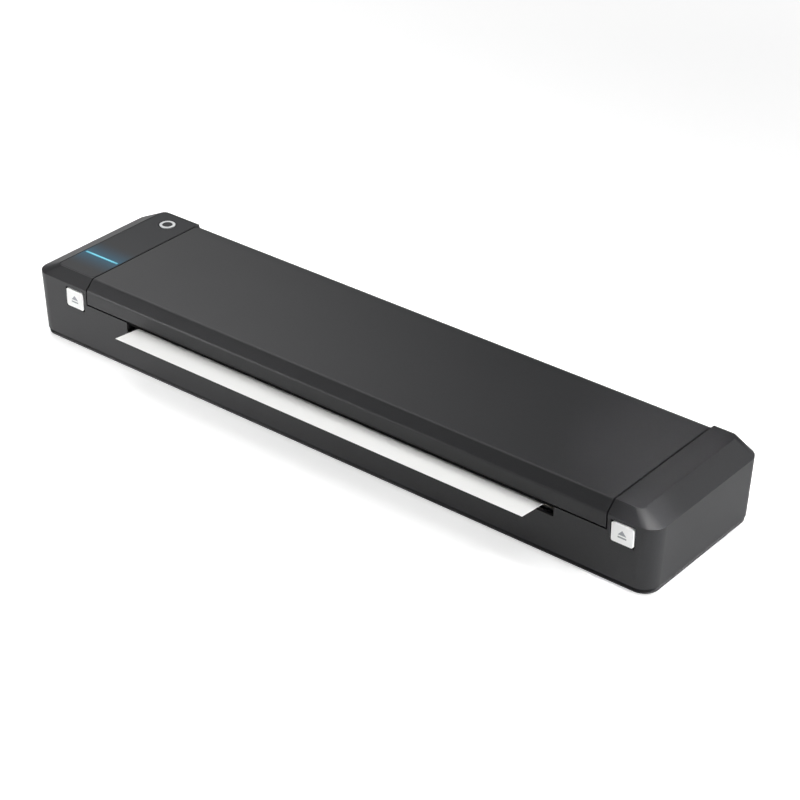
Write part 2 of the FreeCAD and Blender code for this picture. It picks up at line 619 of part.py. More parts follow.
# Paper supply: wound roll on its cardboard core.
roll_spot = (roll_y, roll_z)
roll_solid = rod("roll_wound", "x", roll_spot, (paper_left, paper_right), size("roll_dia"))
bore_span = (paper_left - over, paper_right + over)
roll_bore = rod("roll_bore", "x", roll_spot, bore_span, size("core_dia"))
paper_roll = cut("paper_roll", roll_solid, roll_bore)
core_solid = rod("core_tube", "x", roll_spot, (paper_left, paper_right), size("core_dia"))
core_bore = rod("core_bore", "x", roll_spot, bore_span, size("core_dia") - size("core_wall") * 2.0)
roll_core = cut("roll_core", core_solid, core_bore)

# Paper web from the roll over the guide bar and through the nip to its free edge.
angle = math.radians(sheet.paper_rise)
forward = (-math.cos(angle), math.sin(angle))
down = (-math.sin(angle), -math.cos(angle))
guide_run = sheet.guide_run
bend_start = (number_of(nip_y) + guide_run, number_of(nip_z) - guide_run * math.tan(angle))
bend = sheet.guide_round
guide_centre = (bend_start[0] + bend * down[0], bend_start[1] + bend * down[1])
roll_reach = sheet.roll_dia / 2 + sheet.button_play + sheet.web_thick / 2
to_roll = (number_of(roll_y) - guide_centre[0], number_of(roll_z) - guide_centre[1])
lean = math.atan2(to_roll[1], to_roll[0]) + math.acos((bend + roll_reach) / math.hypot(*to_roll))
away = (math.cos(lean), math.sin(lean))
roll_touch = (number_of(roll_y) - roll_reach * away[0], number_of(roll_z) - roll_reach * away[1])
tip_run = (number_of(nip_y - front) + sheet.paper_overhang) / math.cos(angle)
tip = (number_of(nip_y) + forward[0] * tip_run, number_of(nip_z) + forward[1] * tip_run)


def web_side(offset):
    """Path points of one face of the web; the offset is measured away from the guide bar."""
    radius = bend + offset
    middle = (lean + math.atan2(-down[1], -down[0])) / 2
    on_arc = [(guide_centre[0] + radius * math.cos(turn), guide_centre[1] + radius * math.sin(turn))
              for turn in (math.atan2(-down[1], -down[0]), middle, lean)]
    return [(tip[0] - offset * down[0], tip[1] - offset * down[1]), *on_arc,
            (roll_touch[0] + offset * away[0], roll_touch[1] + offset * away[1])]


upper = [FreeCAD.Vector(0, y, z) for y, z in web_side(sheet.web_thick / 2)]
lower = [FreeCAD.Vector(0, y, z) for y, z in web_side(-sheet.web_thick / 2)]
edges = [Part.LineSegment(upper[0], upper[1]), Part.Arc(*upper[1:4]), Part.LineSegment(upper[3], upper[4]),
         Part.LineSegment(upper[4], lower[4]), Part.LineSegment(lower[4], lower[3]),
         Part.Arc(*lower[3:0:-1]), Part.LineSegment(lower[1], lower[0]),
         Part.LineSegment(lower[0], upper[0])]
web_face = Part.Face(Part.Wire([edge.toShape() for edge in edges]))
paper_web = doc.addObject("Part::Feature", "paper_web")
paper_web.Shape = web_face.extrude(FreeCAD.Vector(sheet.paper_width, 0, 0))
paper_web.setExpression("Placement.Base.x", paper_left.text)

# Roll tray: half-round trough, end cheeks and the deck that covers the battery and the main board.
inner_left = paper_left - size("tray_play")
inner_right = paper_right + size("tray_play")
tray_left = inner_left - size("tray_cheek")
tray_right = inner_right + size("tray_cheek")
trough_outer = trough_round + size("trough_wall")
trough_tube = rod("trough_tube", "x", roll_spot, (tray_left, tray_right), trough_outer * 2.0)
trough_hollow = rod("trough_hollow", "x", roll_spot, (inner_left, inner_right), trough_round * 2.0)
above_trough = box("above_trough", (tray_left - over, tray_right + over),
                   (roll_y - trough_outer - over, roll_y + trough_outer + over),
                   (roll_z, roll_z + trough_outer + over))
paper_exit = box("paper_exit", (inner_left, inner_right),
                 (roll_y - trough_outer - over, roll_y - trough_outer * 0.2),
                 (roll_z - trough_round * 0.85, roll_z + over))
deck_top = rear_wall_top - over
deck_low = deck_top - size("deck_thick")
deck_span = (bay_left + size("deck_gap"), bay_right - size("deck_gap"))
deck_rear = rear - wall - size("deck_gap")
rear_web = box("tray_rear_wall", (tray_left, tray_right), (roll_y + trough_round, roll_y + trough_outer),
               (roll_z - over, deck_top))
deck = box("tray_deck", deck_span, (roll_y + trough_round, deck_rear), (deck_low, deck_top))
skirt_front = deck_rear - size("deck_thick")
deck_skirt = box("tray_skirt", deck_span, (skirt_front, deck_rear), (floor, deck_top))
gate_half = size("usb_width") / 2 + size("gate_margin")
usb_gate = box("usb_gate", around(usb_x, gate_half), (skirt_front - over, deck_rear + over),
               (floor - over, usb_high + over))
foot_deep = trough_outer * 0.36
tray_foot = box("tray_foot", (tray_left, tray_right), around(roll_y, foot_deep),
                (floor, floor + size("trough_wall")))
trough = cut("trough", fuse("trough_with_foot", trough_tube, tray_foot), trough_hollow, above_trough,
             paper_exit)
roll_tray = cut("roll_tray", fuse("tray_solid", trough, rear_web, deck, deck_skirt), usb_gate)

# Steel mechanism frame: folded channel under the head and two side plates with slots for the bushes.
channel_front = front + wall + size("channel_gap")
channel_rear = nip_y + size("channel_reach")
bead_top = nip_z - half_web - 0.1
ceramic_top = bead_top - size("bead_height")
ceramic_low = ceramic_top - size("head_thick")
sink_low = ceramic_low - size("sink_thick")
channel_top = floor + (sink_low - floor) * 0.43
channel = prism("frame_channel", [
    (channel_front, floor), (channel_front + steel, floor), (channel_front + steel, channel_top - steel),
    (channel_rear - steel, channel_top - steel), (channel_rear - steel, floor), (channel_rear, floor),
    (channel_rear, channel_top), (channel_front, channel_top)], (plate_left, plate_right))
plate_rear = nip_y + 14.6
plate_low_top = nip_z + 1.2
plate_top = platen_z + 3.0
slot_reach = size("bush_dia") / 2 + size("slot_play")
frame_plates = []
slots = []
for side, (low, high) in (("left", (plate_left - steel, plate_left)),
                          ("right", (plate_right, plate_right + steel))):
    frame_plates.append(prism(f"side_plate_{side}", [
        (channel_front, floor), (plate_rear, floor), (plate_rear, plate_low_top),
        (nip_y + 7.4, plate_low_top), (nip_y + 6.2, plate_top), (channel_front + 0.4, plate_top),
        (channel_front, plate_top - 2.0)], (low, high)))
    slots.append(box(f"bush_slot_{side}", (low - over, high + over), around(nip_y, slot_reach),
                     (platen_z, plate_top + over)))
    slots.append(rod(f"bush_cradle_{side}", "x", platen, (low - over, high + over), slot_reach * 2.0))
rise_sine = Size(math.sin(angle), "sin(Sizes.paper_rise * 1 deg)")
rise_cosine = Size(math.cos(angle), "cos(Sizes.paper_rise * 1 deg)")
guide_y = nip_y + size("guide_run") - size("guide_round") * rise_sine
guide_z = nip_z - rise * size("guide_run") - size("guide_round") * rise_cosine
guide_dia = size("guide_round") * 2.0 - size("web_thick") - size("nip_gap")
rod_span = (plate_left - steel - size("button_play"), plate_right + steel + size("button_play"))
seat_span = (rod_span[0] - over, rod_span[1] + over)
paper_guide = rod("paper_guide_bar", "x", (guide_y, guide_z), rod_span, guide_dia)
slots.append(square_seat("guide_seat", seat_span, (guide_y, guide_z), guide_dia + fit))

# Gear train on the left side plate, tooth counts in the sheet; the idler lies on the line along which
# the cover lifts the platen gear away.
module = sheet.gear_module
lift = math.atan2(number_of(hinge_z - platen_z), number_of(hinge_y - nip_y))


def mesh_distance(first, second):
    return module * (getattr(sheet, first) + getattr(sheet, second)) / 2


platen_spot = (number_of(nip_y), number_of(platen_z))
idler_reach = mesh_distance("platen_teeth", "idler_teeth")
idler_spot = (platen_spot[0] + idler_reach * math.sin(lift), platen_spot[1] - idler_reach * math.cos(lift))
motor_spot = (number_of(motor_y), number_of(motor_z))
first_reach = mesh_distance("idler_teeth", "small_teeth")
second_reach = mesh_distance("large_teeth", "pinion_teeth")
gap = math.hypot(motor_spot[0] - idler_spot[0], motor_spot[1] - idler_spot[1])
bearing = math.atan2(motor_spot[1] - idler_spot[1], motor_spot[0] - idler_spot[0])
open_angle = math.acos(min(1.0, (first_reach ** 2 + gap ** 2 - second_reach ** 2) / (2 * first_reach * gap)))
reduction_spot = (idler_spot[0] + first_reach * math.cos(bearing - open_angle),
                  idler_spot[1] + first_reach * math.sin(bearing - open_angle))


def meshing_phase(spot, teeth, phase, other_spot, other_teeth):
    """Turn of the second gear that puts its gaps on the teeth of the first."""
    line = math.atan2(other_spot[1] - spot[1], other_spot[0] - spot[0])
    share = (line - phase) * teeth / (2 * math.pi)
    return line + math.pi - (0.5 - share) * 2 * math.pi / other_teeth


def gear(name, teeth, spot, x, width, bore, phase):
    """Spur gear with trapezoidal flanks narrowed for backlash, axis along X."""
    count = int(teeth)
    pitch_r = module * count / 2
    root_r = pitch_r - 1.25 * module
    tip_r = pitch_r + 0.9 * module
    step = 2 * math.pi / count
    points = []
    for tooth in range(count):
        middle = phase + tooth * step
        for share, radius in ((-0.36, root_r), (-0.11, tip_r), (0.11, tip_r), (0.36, root_r)):
            turn = middle + share * step
            points.append(FreeCAD.Vector(0, radius * math.cos(turn), radius * math.sin(turn)))
    solid = Part.Face(Part.makePolygon(points + points[:1])).extrude(FreeCAD.Vector(width, 0, 0))
    if bore > 0:
        solid = solid.cut(Part.makeCylinder(bore / 2, width, FreeCAD.Vector(), FreeCAD.Vector(1, 0, 0)))
    wheel = doc.addObject("Part::Feature", name)
    wheel.Shape = solid
    wheel.Placement.Base = FreeCAD.Vector(x, spot[0], spot[1])
    return wheel


face = sheet.gear_face
plane_a = number_of(bracket_x["left"][0]) - 1.0 - face
plane_b = plane_a - 0.4 - face
stud_bore = sheet.stud_dia + 2 * sheet.running_fit
platen_phase = 0.1
idler_phase = meshing_phase(platen_spot, sheet.platen_teeth, platen_phase, idler_spot, sheet.idler_teeth)
small_phase = meshing_phase(idler_spot, sheet.idler_teeth, idler_phase, reduction_spot, sheet.small_teeth)
large_phase = small_phase
pinion_phase = meshing_phase(reduction_spot, sheet.large_teeth, large_phase, motor_spot, sheet.pinion_teeth)
platen_gear = gear("platen_gear", sheet.platen_teeth, platen_spot, plane_a, face, sheet.platen_shaft,
                   platen_phase)
idler_gear = gear("idler_gear", sheet.idler_teeth, idler_spot, plane_a, face, stud_bore, idler_phase)
overlap = 0.2
reduction_small = gear("reduction_small", sheet.small_teeth, reduction_spot, plane_a - overlap,
                       face + overlap, stud_bore, small_phase)
reduction_large = gear("reduction_large", sheet.large_teeth, reduction_spot, plane_b, face + overlap,
                       stud_bore, large_phase)
reduction_gear = fuse("reduction_gear", reduction_small, reduction_large)


def stud(name, spot, end):
    """Fixed pin riveted in the side plate."""
    piece = doc.addObject("Part::Feature", name)
    length = number_of(plate_left) - end
    piece.Shape = Part.makeCylinder(sheet.stud_dia / 2, length, FreeCAD.Vector(end, *spot),
                                    FreeCAD.Vector(1, 0, 0))
    return piece


idler_stud = stud("idler_stud", idler_spot, plane_a - 0.3)
reduction_stud = stud("reduction_stud", reduction_spot, plane_b - 0.4)
gear_studs = group("gear_studs", idler_stud, reduction_stud)
for name, spot in (("idler_seat", idler_spot), ("reduction_seat", reduction_spot)):
    slots.append(square_seat(name, (plate_left - steel - over, plate_left + over),
                             [Size(place, repr(place)) for place in spot], size("stud_dia")))

# Stepper motor behind the left bulkhead; its pinion reaches through to the gear train.
motor_axis = (motor_y, motor_z)
flange_left = cap_left - steel
can_right = flange_left + fit
motor_can = rod("motor_can", "x", motor_axis, (can_right - size("motor_length"), can_right),
                size("motor_dia"))
flange_reach = size("motor_dia") / 2 + 1.5
flange_rise = size("motor_dia") / 5
flange = box("motor_flange", (flange_left, cap_left), around(motor_y, flange_reach),
             around(motor_z, flange_rise))
bore_left = can_right - 3.0
motor_bore = rod("motor_bore", "x", motor_axis, (bore_left, cap_left + over),
                 size("motor_shaft") + fit * 2.0)
motor = cut("motor", fuse("motor_solid", motor_can, flange), motor_bore)
pinion_play = sheet.button_play
pinion_teeth = gear("pinion_teeth", sheet.pinion_teeth, motor_spot, plane_b - pinion_play,
                    face + 2 * pinion_play, 0.0, pinion_phase)
shaft_end = Size(plane_b + sheet.overcut, repr(plane_b + sheet.overcut))
rotor_shaft = rod("rotor_shaft", "x", motor_axis, (bore_left + size("button_play"), shaft_end),
                  size("motor_shaft"))
motor_pinion = fuse("motor_pinion", pinion_teeth, rotor_shaft)

# Print head: ceramic strip with the heater bead, on an aluminium carrier that rocks on a rear rod.
head_half = size("platen_length") / 2 - over
head_x = around(print_centre, head_half)
head_front = nip_y - size("head_depth") / 2 + size("button_play")
head_rear = nip_y + size("head_depth") / 2
ceramic = box("head_ceramic", head_x, (head_front + size("leaf_thick"), nip_y + size("head_depth") / 5),
              (ceramic_low, ceramic_top))
bead_radius = size("bead_height")
bead = rod("heater_bead", "x", (nip_y, ceramic_top), head_x, bead_radius * 2.0)
bead_trim = box("bead_trim", head_x, around(nip_y, bead_radius * 2.0),
                (ceramic_top - bead_radius / 2, ceramic_top + bead_radius * 2.0))
print_head = fuse("print_head", ceramic, common("bead_half", bead, bead_trim))
carrier_x = (plate_left + size("head_side"), plate_right - size("head_side"))
sink_block = box("sink_block", carrier_x, (head_front, head_rear), (sink_low, ceramic_low))
pivot_dia = size("stud_dia") - size("leaf_thick")
pivot = (head_rear - size("lug_dia") / 2 - fit * 2.0, sink_low + size("tear_gap"))
pivot_lug = rod("pivot_lug", "x", pivot, carrier_x, size("lug_dia"))
pivot_bore = rod("pivot_bore", "x", pivot, (plate_left, plate_right), pivot_dia + fit * 2.0)
fin_cuts = []
for index in range(2):
    fin_front = head_front + size("fin_width") * (1 + 2 * index)
    fin_cuts.append(box(f"fin_gap_{index}", (plate_left, plate_right),
                        (fin_front, fin_front + size("fin_width")),
                        (sink_low - over, sink_low + size("fin_depth"))))
head_carrier = cut("head_carrier", fuse("carrier_solid", sink_block, pivot_lug), pivot_bore, *fin_cuts)
head_rod = rod("head_pivot_rod", "x", pivot, rod_span, pivot_dia)
slots.append(square_seat("pivot_seat", seat_span, pivot, pivot_dia + fit))
mechanism_frame = cut("mechanism_frame", fuse("frame_solid", channel, *frame_plates), *slots)

# Leaf springs that press the head up against the platen.
leaf = size("leaf_thick")
spring_half = size("spring_width") / 2
springs = []
for index, share in enumerate((-0.6, -0.2, 0.2, 0.6), 1):
    middle = print_centre + head_half * share
    springs.append(prism(f"head_spring_{index}", [
        (head_front + 8.0, channel_top), (head_front + 8.0, channel_top + leaf),
        (head_front + 4.2, channel_top + leaf), (head_front + 1.2, sink_low), (head_front + 0.3, sink_low),
        (head_front + 0.3, sink_low - leaf), (head_front + 0.9, sink_low - leaf),
        (head_front + 3.9, channel_top)], around(middle, spring_half)))
head_springs = group("head_springs", *springs)

# Release buttons with their latch sliders and return springs, one at each end of the cover.
cap_rear = front + size("cap_depth")
guard_front = front + wall + size("guard_gap")
guard_lip = size("guard_lip")
guard_gap = size("guard_gap")
latch_inset = size("latch_inset")
nose_low = size("nose_inset")
nose_high = nose_low + size("nose_width")
stem_high = latch_high + leaf * 3.0
leaf_half = size("leaf_width") / 2
releases = {}
for side, (low, high) in release_x.items():
    cap_body = facing_plate(f"release_block_{side}", (low, high), (release_low, release_high),
                            size("cap_corner"), (front - size("release_proud"), cap_rear))
    if side == "right":
        guard_x = (low + guard_gap, high + guard_lip)
        arm_x = (cover_right - nose_high - leaf, high - latch_inset)
        nose_x = (cover_right - nose_high, cover_right - nose_low)
    else:
        guard_x = (low - guard_lip, high - guard_gap)
        arm_x = (low + latch_inset, cover_left + nose_high + leaf)
        nose_x = (cover_left + nose_low, cover_left + nose_high)
    guard = box(f"release_flange_{side}", guard_x, (guard_front, guard_front + size("guard_thick")),
                (release_low - guard_lip, release_high - guard_gap * 2.0))
    button = fuse(f"release_button_{side}", cap_body, guard)
    stem = box(f"latch_stem_{side}", (low + latch_inset, high - latch_inset), (cap_rear, arm_rear),
               (latch_low, stem_high))
    arm = box(f"latch_arm_{side}", arm_x, (nose_y + size("nose_width"), arm_rear), (latch_low, latch_high))
    nose = box(f"latch_nose_{side}", nose_x, (nose_y, nose_y + size("nose_width") + leaf),
               (latch_low + play, latch_high - play))
    hook = fuse(f"latch_hook_{side}", stem, arm, nose)
    middle = (low + high) / 2
    leaf_x = around(middle, leaf_half)
    leaves = []
    for fold in range(leaf_count):
        leaf_y = spring_front + size("leaf_pitch") * fold
        leaves.append(box(f"spring_leaf_{side}_{fold}", leaf_x, (leaf_y, leaf_y + leaf),
                          (latch_low, stem_high)))
        if fold < leaf_count - 1:
            level = latch_low if fold % 2 else stem_high - leaf
            leaves.append(box(f"spring_fold_{side}_{fold}", leaf_x,
                              (leaf_y, leaf_y + size("leaf_pitch") + leaf), (level, level + leaf)))
    spring = fuse(f"latch_spring_{side}", *leaves)
    releases[side] = (button, hook, spring)

# Control panel, light bar, power button and the small board below them.
panel_cut = (panel_floor - over, top + over)
power_spot = (panel_centre, power_y)
panel_form = plate("panel_form", (panel_left, panel_right), (panel_front, panel_rear), panel_round,
                   (panel_floor, top))
bar_slot = box("bar_slot", (bar_low - slack, bar_high + slack),
               (bar_y - bar_half - slack, bar_y + bar_half + slack), panel_cut)
power_hole = rod("power_hole", "z", power_spot, panel_cut, size("power_dia") + size("power_play") * 2.0)
control_panel = cut("control_panel", panel_form, bar_slot, power_hole)
bar_foot = board_top + well * 1.5
light_guide = box("bar_light_guide", (bar_low, bar_high), around(bar_y, bar_half), (bar_foot, top))
bar_shoulder = box("bar_shoulder", (bar_low - leaf, bar_high + leaf), around(bar_y, bar_half * 2.0),
                   (bar_foot, panel_floor))
light_bar = fuse("light_bar", light_guide, bar_shoulder)
cap_top = top + size("guard_gap")
ring_hole_dia = size("ring_dia") - size("ring_stroke") * 2.0
ring_floor = cap_top - size("power_travel")
plunger_dia = size("stud_dia")
plunger_half = plunger_dia / 2
switch_half = flange_half / 2
plunger_top = board_top + 2.6
power_cap = rod("power_cap", "z", power_spot, (panel_floor - well, ring_floor), size("power_dia"))
power_middle = rod("power_centre", "z", power_spot, (ring_floor - size("power_play"), cap_top),
                   ring_hole_dia)
power_flange = box("power_flange", around(panel_centre, flange_half),
                   around(power_y, flange_half),
                   (panel_floor - well * 2.0, panel_floor - size("guard_gap")))
power_stem = box("power_stem", around(panel_centre, plunger_half),
                 around(power_y, plunger_half),
                 (plunger_top + size("power_travel") + size("guard_gap"), panel_floor - over))
power_button = fuse("power_button", power_cap, power_middle, power_flange, power_stem)
ring_outer = rod("ring_outer", "z", power_spot, (ring_floor, cap_top), size("ring_dia"))
ring_inner = rod("ring_inner", "z", power_spot, (ring_floor - over, cap_top + over), ring_hole_dia)
power_ring = cut("power_ring", ring_outer, ring_inner)
control_board = box("control_board", (panel_left + size("head_side"), panel_right - size("boss_roof")),
                   (panel_front + size("spring_width") / 2, panel_rear - bulkhead), (board_under, board_top))
switch_case = box("switch_case", around(panel_centre, switch_half),
                  around(power_y, switch_half), (board_top, board_top + wall))
switch_plunger = rod("switch_plunger", "z", power_spot, (board_top + wall / 2, plunger_top), plunger_dia)
power_switch = fuse("power_switch", switch_case, switch_plunger)
lamp_pitch = size("bar_length") / 3
leds = []
for index in (-1, 0, 1):
    leds.append(box(f"status_led_{index}", around(panel_centre + lamp_pitch * index, over),
                    around(bar_y, bar_half), (board_top, board_top + size("head_side"))))
status_leds = group("status_leds", *leds)

# Battery pack, main board with its USB socket, and the paper sensor.
battery_left = bay_left + size("battery_inset")
battery_front = roll_y + trough_outer + over
battery_rear = skirt_front - size("battery_play")
battery = plate("battery_pack", (battery_left, board_left - size("battery_gap")),
                (battery_front, battery_rear), (battery_rear - battery_front) * 0.15,
                (floor, deck_low - size("battery_play")))
main_board = box("main_board", (board_left, board_right), (board_front, board_rear), (board_level, usb_low))
chips = []
chip_front = board_front + (board_rear - board_front) * 0.2
for index, (place, wide, share, tall) in enumerate(((14.0, 10.0, 0.64, 1.2), (34.0, 7.0, 0.45, 1.0),
                                                   (50.0, 12.0, 0.32, 4.5)), 1):
    chips.append(box(f"board_chip_{index}", (board_left + place, board_left + place + wide),
                     (chip_front, chip_front + (board_rear - board_front) * share),
                     (usb_low, usb_low + tall)))
board_parts = group("board_parts", *chips)
usb_x_span = around(usb_x, usb_reach)
usb_front = rear - size("button_play")
usb_back = usb_front - size("usb_length")
usb_parts = [box("usb_mid", usb_x_span, (usb_back, usb_front), (usb_low, usb_high))]
for side, spot in zip(("low", "high"), usb_x_span):
    usb_parts.append(rod(f"usb_{side}", "y", (spot, usb_mid), (usb_back, usb_front), size("usb_height")))
shell_wall = size("tear_thick")
usb_mouth = box("usb_mouth", (usb_x_span[0] - shell_wall, usb_x_span[1] + shell_wall),
                (usb_back + shell_wall * 2.0, rear), (usb_low + shell_wall, usb_high - shell_wall))
tongue_half = shell_wall / 2
usb_tongue = box("usb_tongue", usb_x_span, (usb_back + shell_wall, usb_front - over),
                 around(usb_mid, tongue_half))
usb_socket = fuse("usb_socket", cut("usb_shell", fuse("usb_solid", *usb_parts), usb_mouth), usb_tongue)
sensor_x = print_centre + size("paper_width") / 4
sensor_half = size("sensor_width") / 2
paper_sensor = box("paper_sensor", around(sensor_x, sensor_half),
                   (channel_rear, channel_rear + size("sensor_width") * 0.75),
                   (channel_top - steel * 2.0, guide_z - guide_dia / 2 - wall - fit * 4.0))

subparts = {
    "main_housing": main_housing, "bottom_cover": bottom_cover, "rubber_feet": rubber_feet,
    "case_screws": case_screws, "top_cover": top_cover, "hinge_pins": hinge_pins,
    "cover_liner": cover_liner, "platen_bushes": platen_bushes, "tear_bar": tear_bar,
    "platen_shaft": platen_shaft, "platen_rubber": platen_rubber, "platen_gear": platen_gear,
    "idler_gear": idler_gear, "reduction_gear": reduction_gear, "gear_studs": gear_studs,
    "motor": motor, "motor_pinion": motor_pinion, "paper_roll": paper_roll, "roll_core": roll_core,
    "paper_web": paper_web, "roll_tray": roll_tray, "mechanism_frame": mechanism_frame,
    "paper_guide_bar": paper_guide, "print_head": print_head, "head_carrier": head_carrier,
    "head_pivot_rod": head_rod, "head_springs": head_springs, "control_panel": control_panel,
    "light_bar": light_bar, "power_button": power_button, "power_ring": power_ring,
    "control_board": control_board, "power_switch": power_switch, "status_leds": status_leds,
    "battery_pack": battery, "main_board": main_board, "board_parts": board_parts,
    "usb_socket": usb_socket, "paper_sensor": paper_sensor,
}
for side, (button, hook, spring) in releases.items():
    subparts[f"release_button_{side}"] = button
    subparts[f"latch_hook_{side}"] = hook
    subparts[f"latch_spring_{side}"] = spring

doc.recompute()
for item in doc.Objects:
    if "Invalid" in item.State or "Error" in item.State:
        raise RuntimeError(f"{item.Name} did not build: {item.State}")
os.makedirs("parts", exist_ok=True)
for name, item in subparts.items():
    item.Label = name
    if item.Shape.isNull() or not item.Shape.isValid() or not item.Shape.Solids:
        raise RuntimeError(f"{name} has no valid solid")
    item.Shape.exportStep(f"parts/{name}.step")
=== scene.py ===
import math

import bmesh
import bpy
from mathutils import Matrix, Vector
from mathutils.bvhtree import BVHTree


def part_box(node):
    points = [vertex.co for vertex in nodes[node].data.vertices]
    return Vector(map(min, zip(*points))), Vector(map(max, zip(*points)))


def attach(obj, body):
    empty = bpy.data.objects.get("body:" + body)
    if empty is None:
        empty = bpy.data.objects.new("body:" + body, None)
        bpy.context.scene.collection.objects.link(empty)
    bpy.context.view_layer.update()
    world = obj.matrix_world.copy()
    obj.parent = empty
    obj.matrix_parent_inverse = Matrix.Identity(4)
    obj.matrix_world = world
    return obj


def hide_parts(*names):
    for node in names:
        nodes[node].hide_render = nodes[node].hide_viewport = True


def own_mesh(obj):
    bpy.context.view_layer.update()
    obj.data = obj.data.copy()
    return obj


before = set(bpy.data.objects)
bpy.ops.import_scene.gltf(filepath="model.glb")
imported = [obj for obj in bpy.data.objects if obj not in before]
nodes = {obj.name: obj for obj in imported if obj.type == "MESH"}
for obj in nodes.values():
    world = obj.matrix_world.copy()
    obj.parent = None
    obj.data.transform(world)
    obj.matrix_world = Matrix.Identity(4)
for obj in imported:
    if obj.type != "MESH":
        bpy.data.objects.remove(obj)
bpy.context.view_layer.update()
scene = bpy.context.scene
scene.view_settings.view_transform = "Standard"
MM = 0.001


# View: a long lens looks down on the front and the right end, as a catalogue picture does. Place,
# angles and lens come from a fit to the corners of the case.
azimuth, elevation = math.radians(39.22), math.radians(30.88)
back = Vector((math.sin(azimuth) * math.cos(elevation), -math.cos(azimuth) * math.cos(elevation),
               math.sin(elevation)))
camera = bpy.data.objects.new("camera", bpy.data.cameras.new("camera"))
camera.data.lens = 105.96
camera.data.sensor_width = 36.0
camera.location = (0.52967, -0.63248, 0.50218)
camera.rotation_euler = (-back).to_track_quat("-Z", "Y").to_euler()
scene.collection.objects.link(camera)
scene.camera = camera


# Studio: a pale sweep of paper, a white surround, one large softbox overhead, small ones narrowed
# by grids, and three snoots on the right end. Surround and sweep are white to the eye but dim as
# sources; in reflections the sweep fades from left to right, so dark plastic keeps its own colour.
def linear(code):
    """Linear colour of an sRGB hex code."""
    parts = [int(code[place:place + 2], 16) / 255 for place in (1, 3, 5)]
    return [part / 12.92 if part <= 0.04045 else ((part + 0.055) / 1.055) ** 2.4 for part in parts] + [1.0]


def knot(tree, kind, inputs=(), **settings):
    """Adds one shader node with its settings, and its inputs as values or links."""
    made = tree.nodes.new(kind)
    for name, value in settings.items():
        setattr(made, name, value)
    for socket, value in dict(inputs).items():
        if isinstance(value, bpy.types.NodeSocket):
            tree.links.new(value, made.inputs[socket])
        else:
            made.inputs[socket].default_value = value
    return made


def seen_directly(tree, sheen):
    """One for camera and transmitted rays, sheen for glossy ones, zero for light that falls on things."""
    path = knot(tree, "ShaderNodeLightPath")
    mirror = knot(tree, "ShaderNodeMath", {0: path.outputs["Is Glossy Ray"], 1: sheen},
                  operation="MULTIPLY")
    first = knot(tree, "ShaderNodeMath", {0: path.outputs["Is Camera Ray"], 1: mirror.outputs[0]},
                 operation="MAXIMUM")
    return knot(tree, "ShaderNodeMath", {0: first.outputs[0], 1: path.outputs["Is Transmission Ray"]},
                operation="MAXIMUM").outputs[0]


world = bpy.data.worlds.new("white_surround")
world.use_nodes = True
scene.world = world
surround = world.node_tree
surround.nodes.clear()
surround_sheen, surround_fill = 0.05, 0.03
level = knot(surround, "ShaderNodeMapRange", {"Value": seen_directly(surround, surround_sheen),
                                              "To Min": surround_fill, "To Max": 1.0})
sky = knot(surround, "ShaderNodeBackground", {"Color": linear("#ffffff"), "Strength": level.outputs[0]})
knot(surround, "ShaderNodeOutputWorld", {"Surface": sky.outputs[0]})

sweep_half, sweep_drop = 6.0, 0.05 * MM
sweep = bpy.data.objects.new("floor_sweep", bpy.data.meshes.new("floor_sweep"))
shape = bmesh.new()
bmesh.ops.create_grid(shape, x_segments=1, y_segments=1, size=sweep_half)
bmesh.ops.translate(shape, verts=shape.verts, vec=(0, 0, -sweep_drop))
shape.to_mesh(sweep.data)
shape.free()
scene.collection.objects.link(sweep)
pale_paper = bpy.data.materials.new("pale_sweep_paper")
pale_paper.use_nodes = True
tree = pale_paper.node_tree
tree.nodes.clear()
place = knot(tree, "ShaderNodeTexCoord").outputs["Object"]
along = knot(tree, "ShaderNodeSeparateXYZ", {0: place})
falloff = knot(tree, "ShaderNodeMapRange", {"Value": along.outputs["X"], "From Min": -0.20,
                                            "From Max": 0.12, "To Min": 1.55, "To Max": 0.07})
reach = knot(tree, "ShaderNodeVectorMath", {0: place}, operation="LENGTH")
# Painted light: the sweep glows brighter farther from the case, from 0.5 at 0.3 m to 0.95 at 0.9 m.
painted_far_glow = knot(tree, "ShaderNodeMapRange", {"Value": reach.outputs["Value"], "From Min": 0.3,
                                            "From Max": 0.9, "To Min": 0.5, "To Max": 0.95})
level = knot(tree, "ShaderNodeMath", {0: seen_directly(tree, falloff.outputs[0]), 1: painted_far_glow.outputs[0]},
             operation="MULTIPLY")
matt = knot(tree, "ShaderNodeBsdfDiffuse", {"Color": linear("#f2f2f2")})
glow = knot(tree, "ShaderNodeEmission", {"Color": linear("#ffffff"), "Strength": level.outputs[0]})
lit = knot(tree, "ShaderNodeAddShader", {0: matt.outputs[0], 1: glow.outputs[0]})
knot(tree, "ShaderNodeOutputMaterial", {"Surface": lit.outputs[0]})
sweep.data.materials.append(pale_paper)

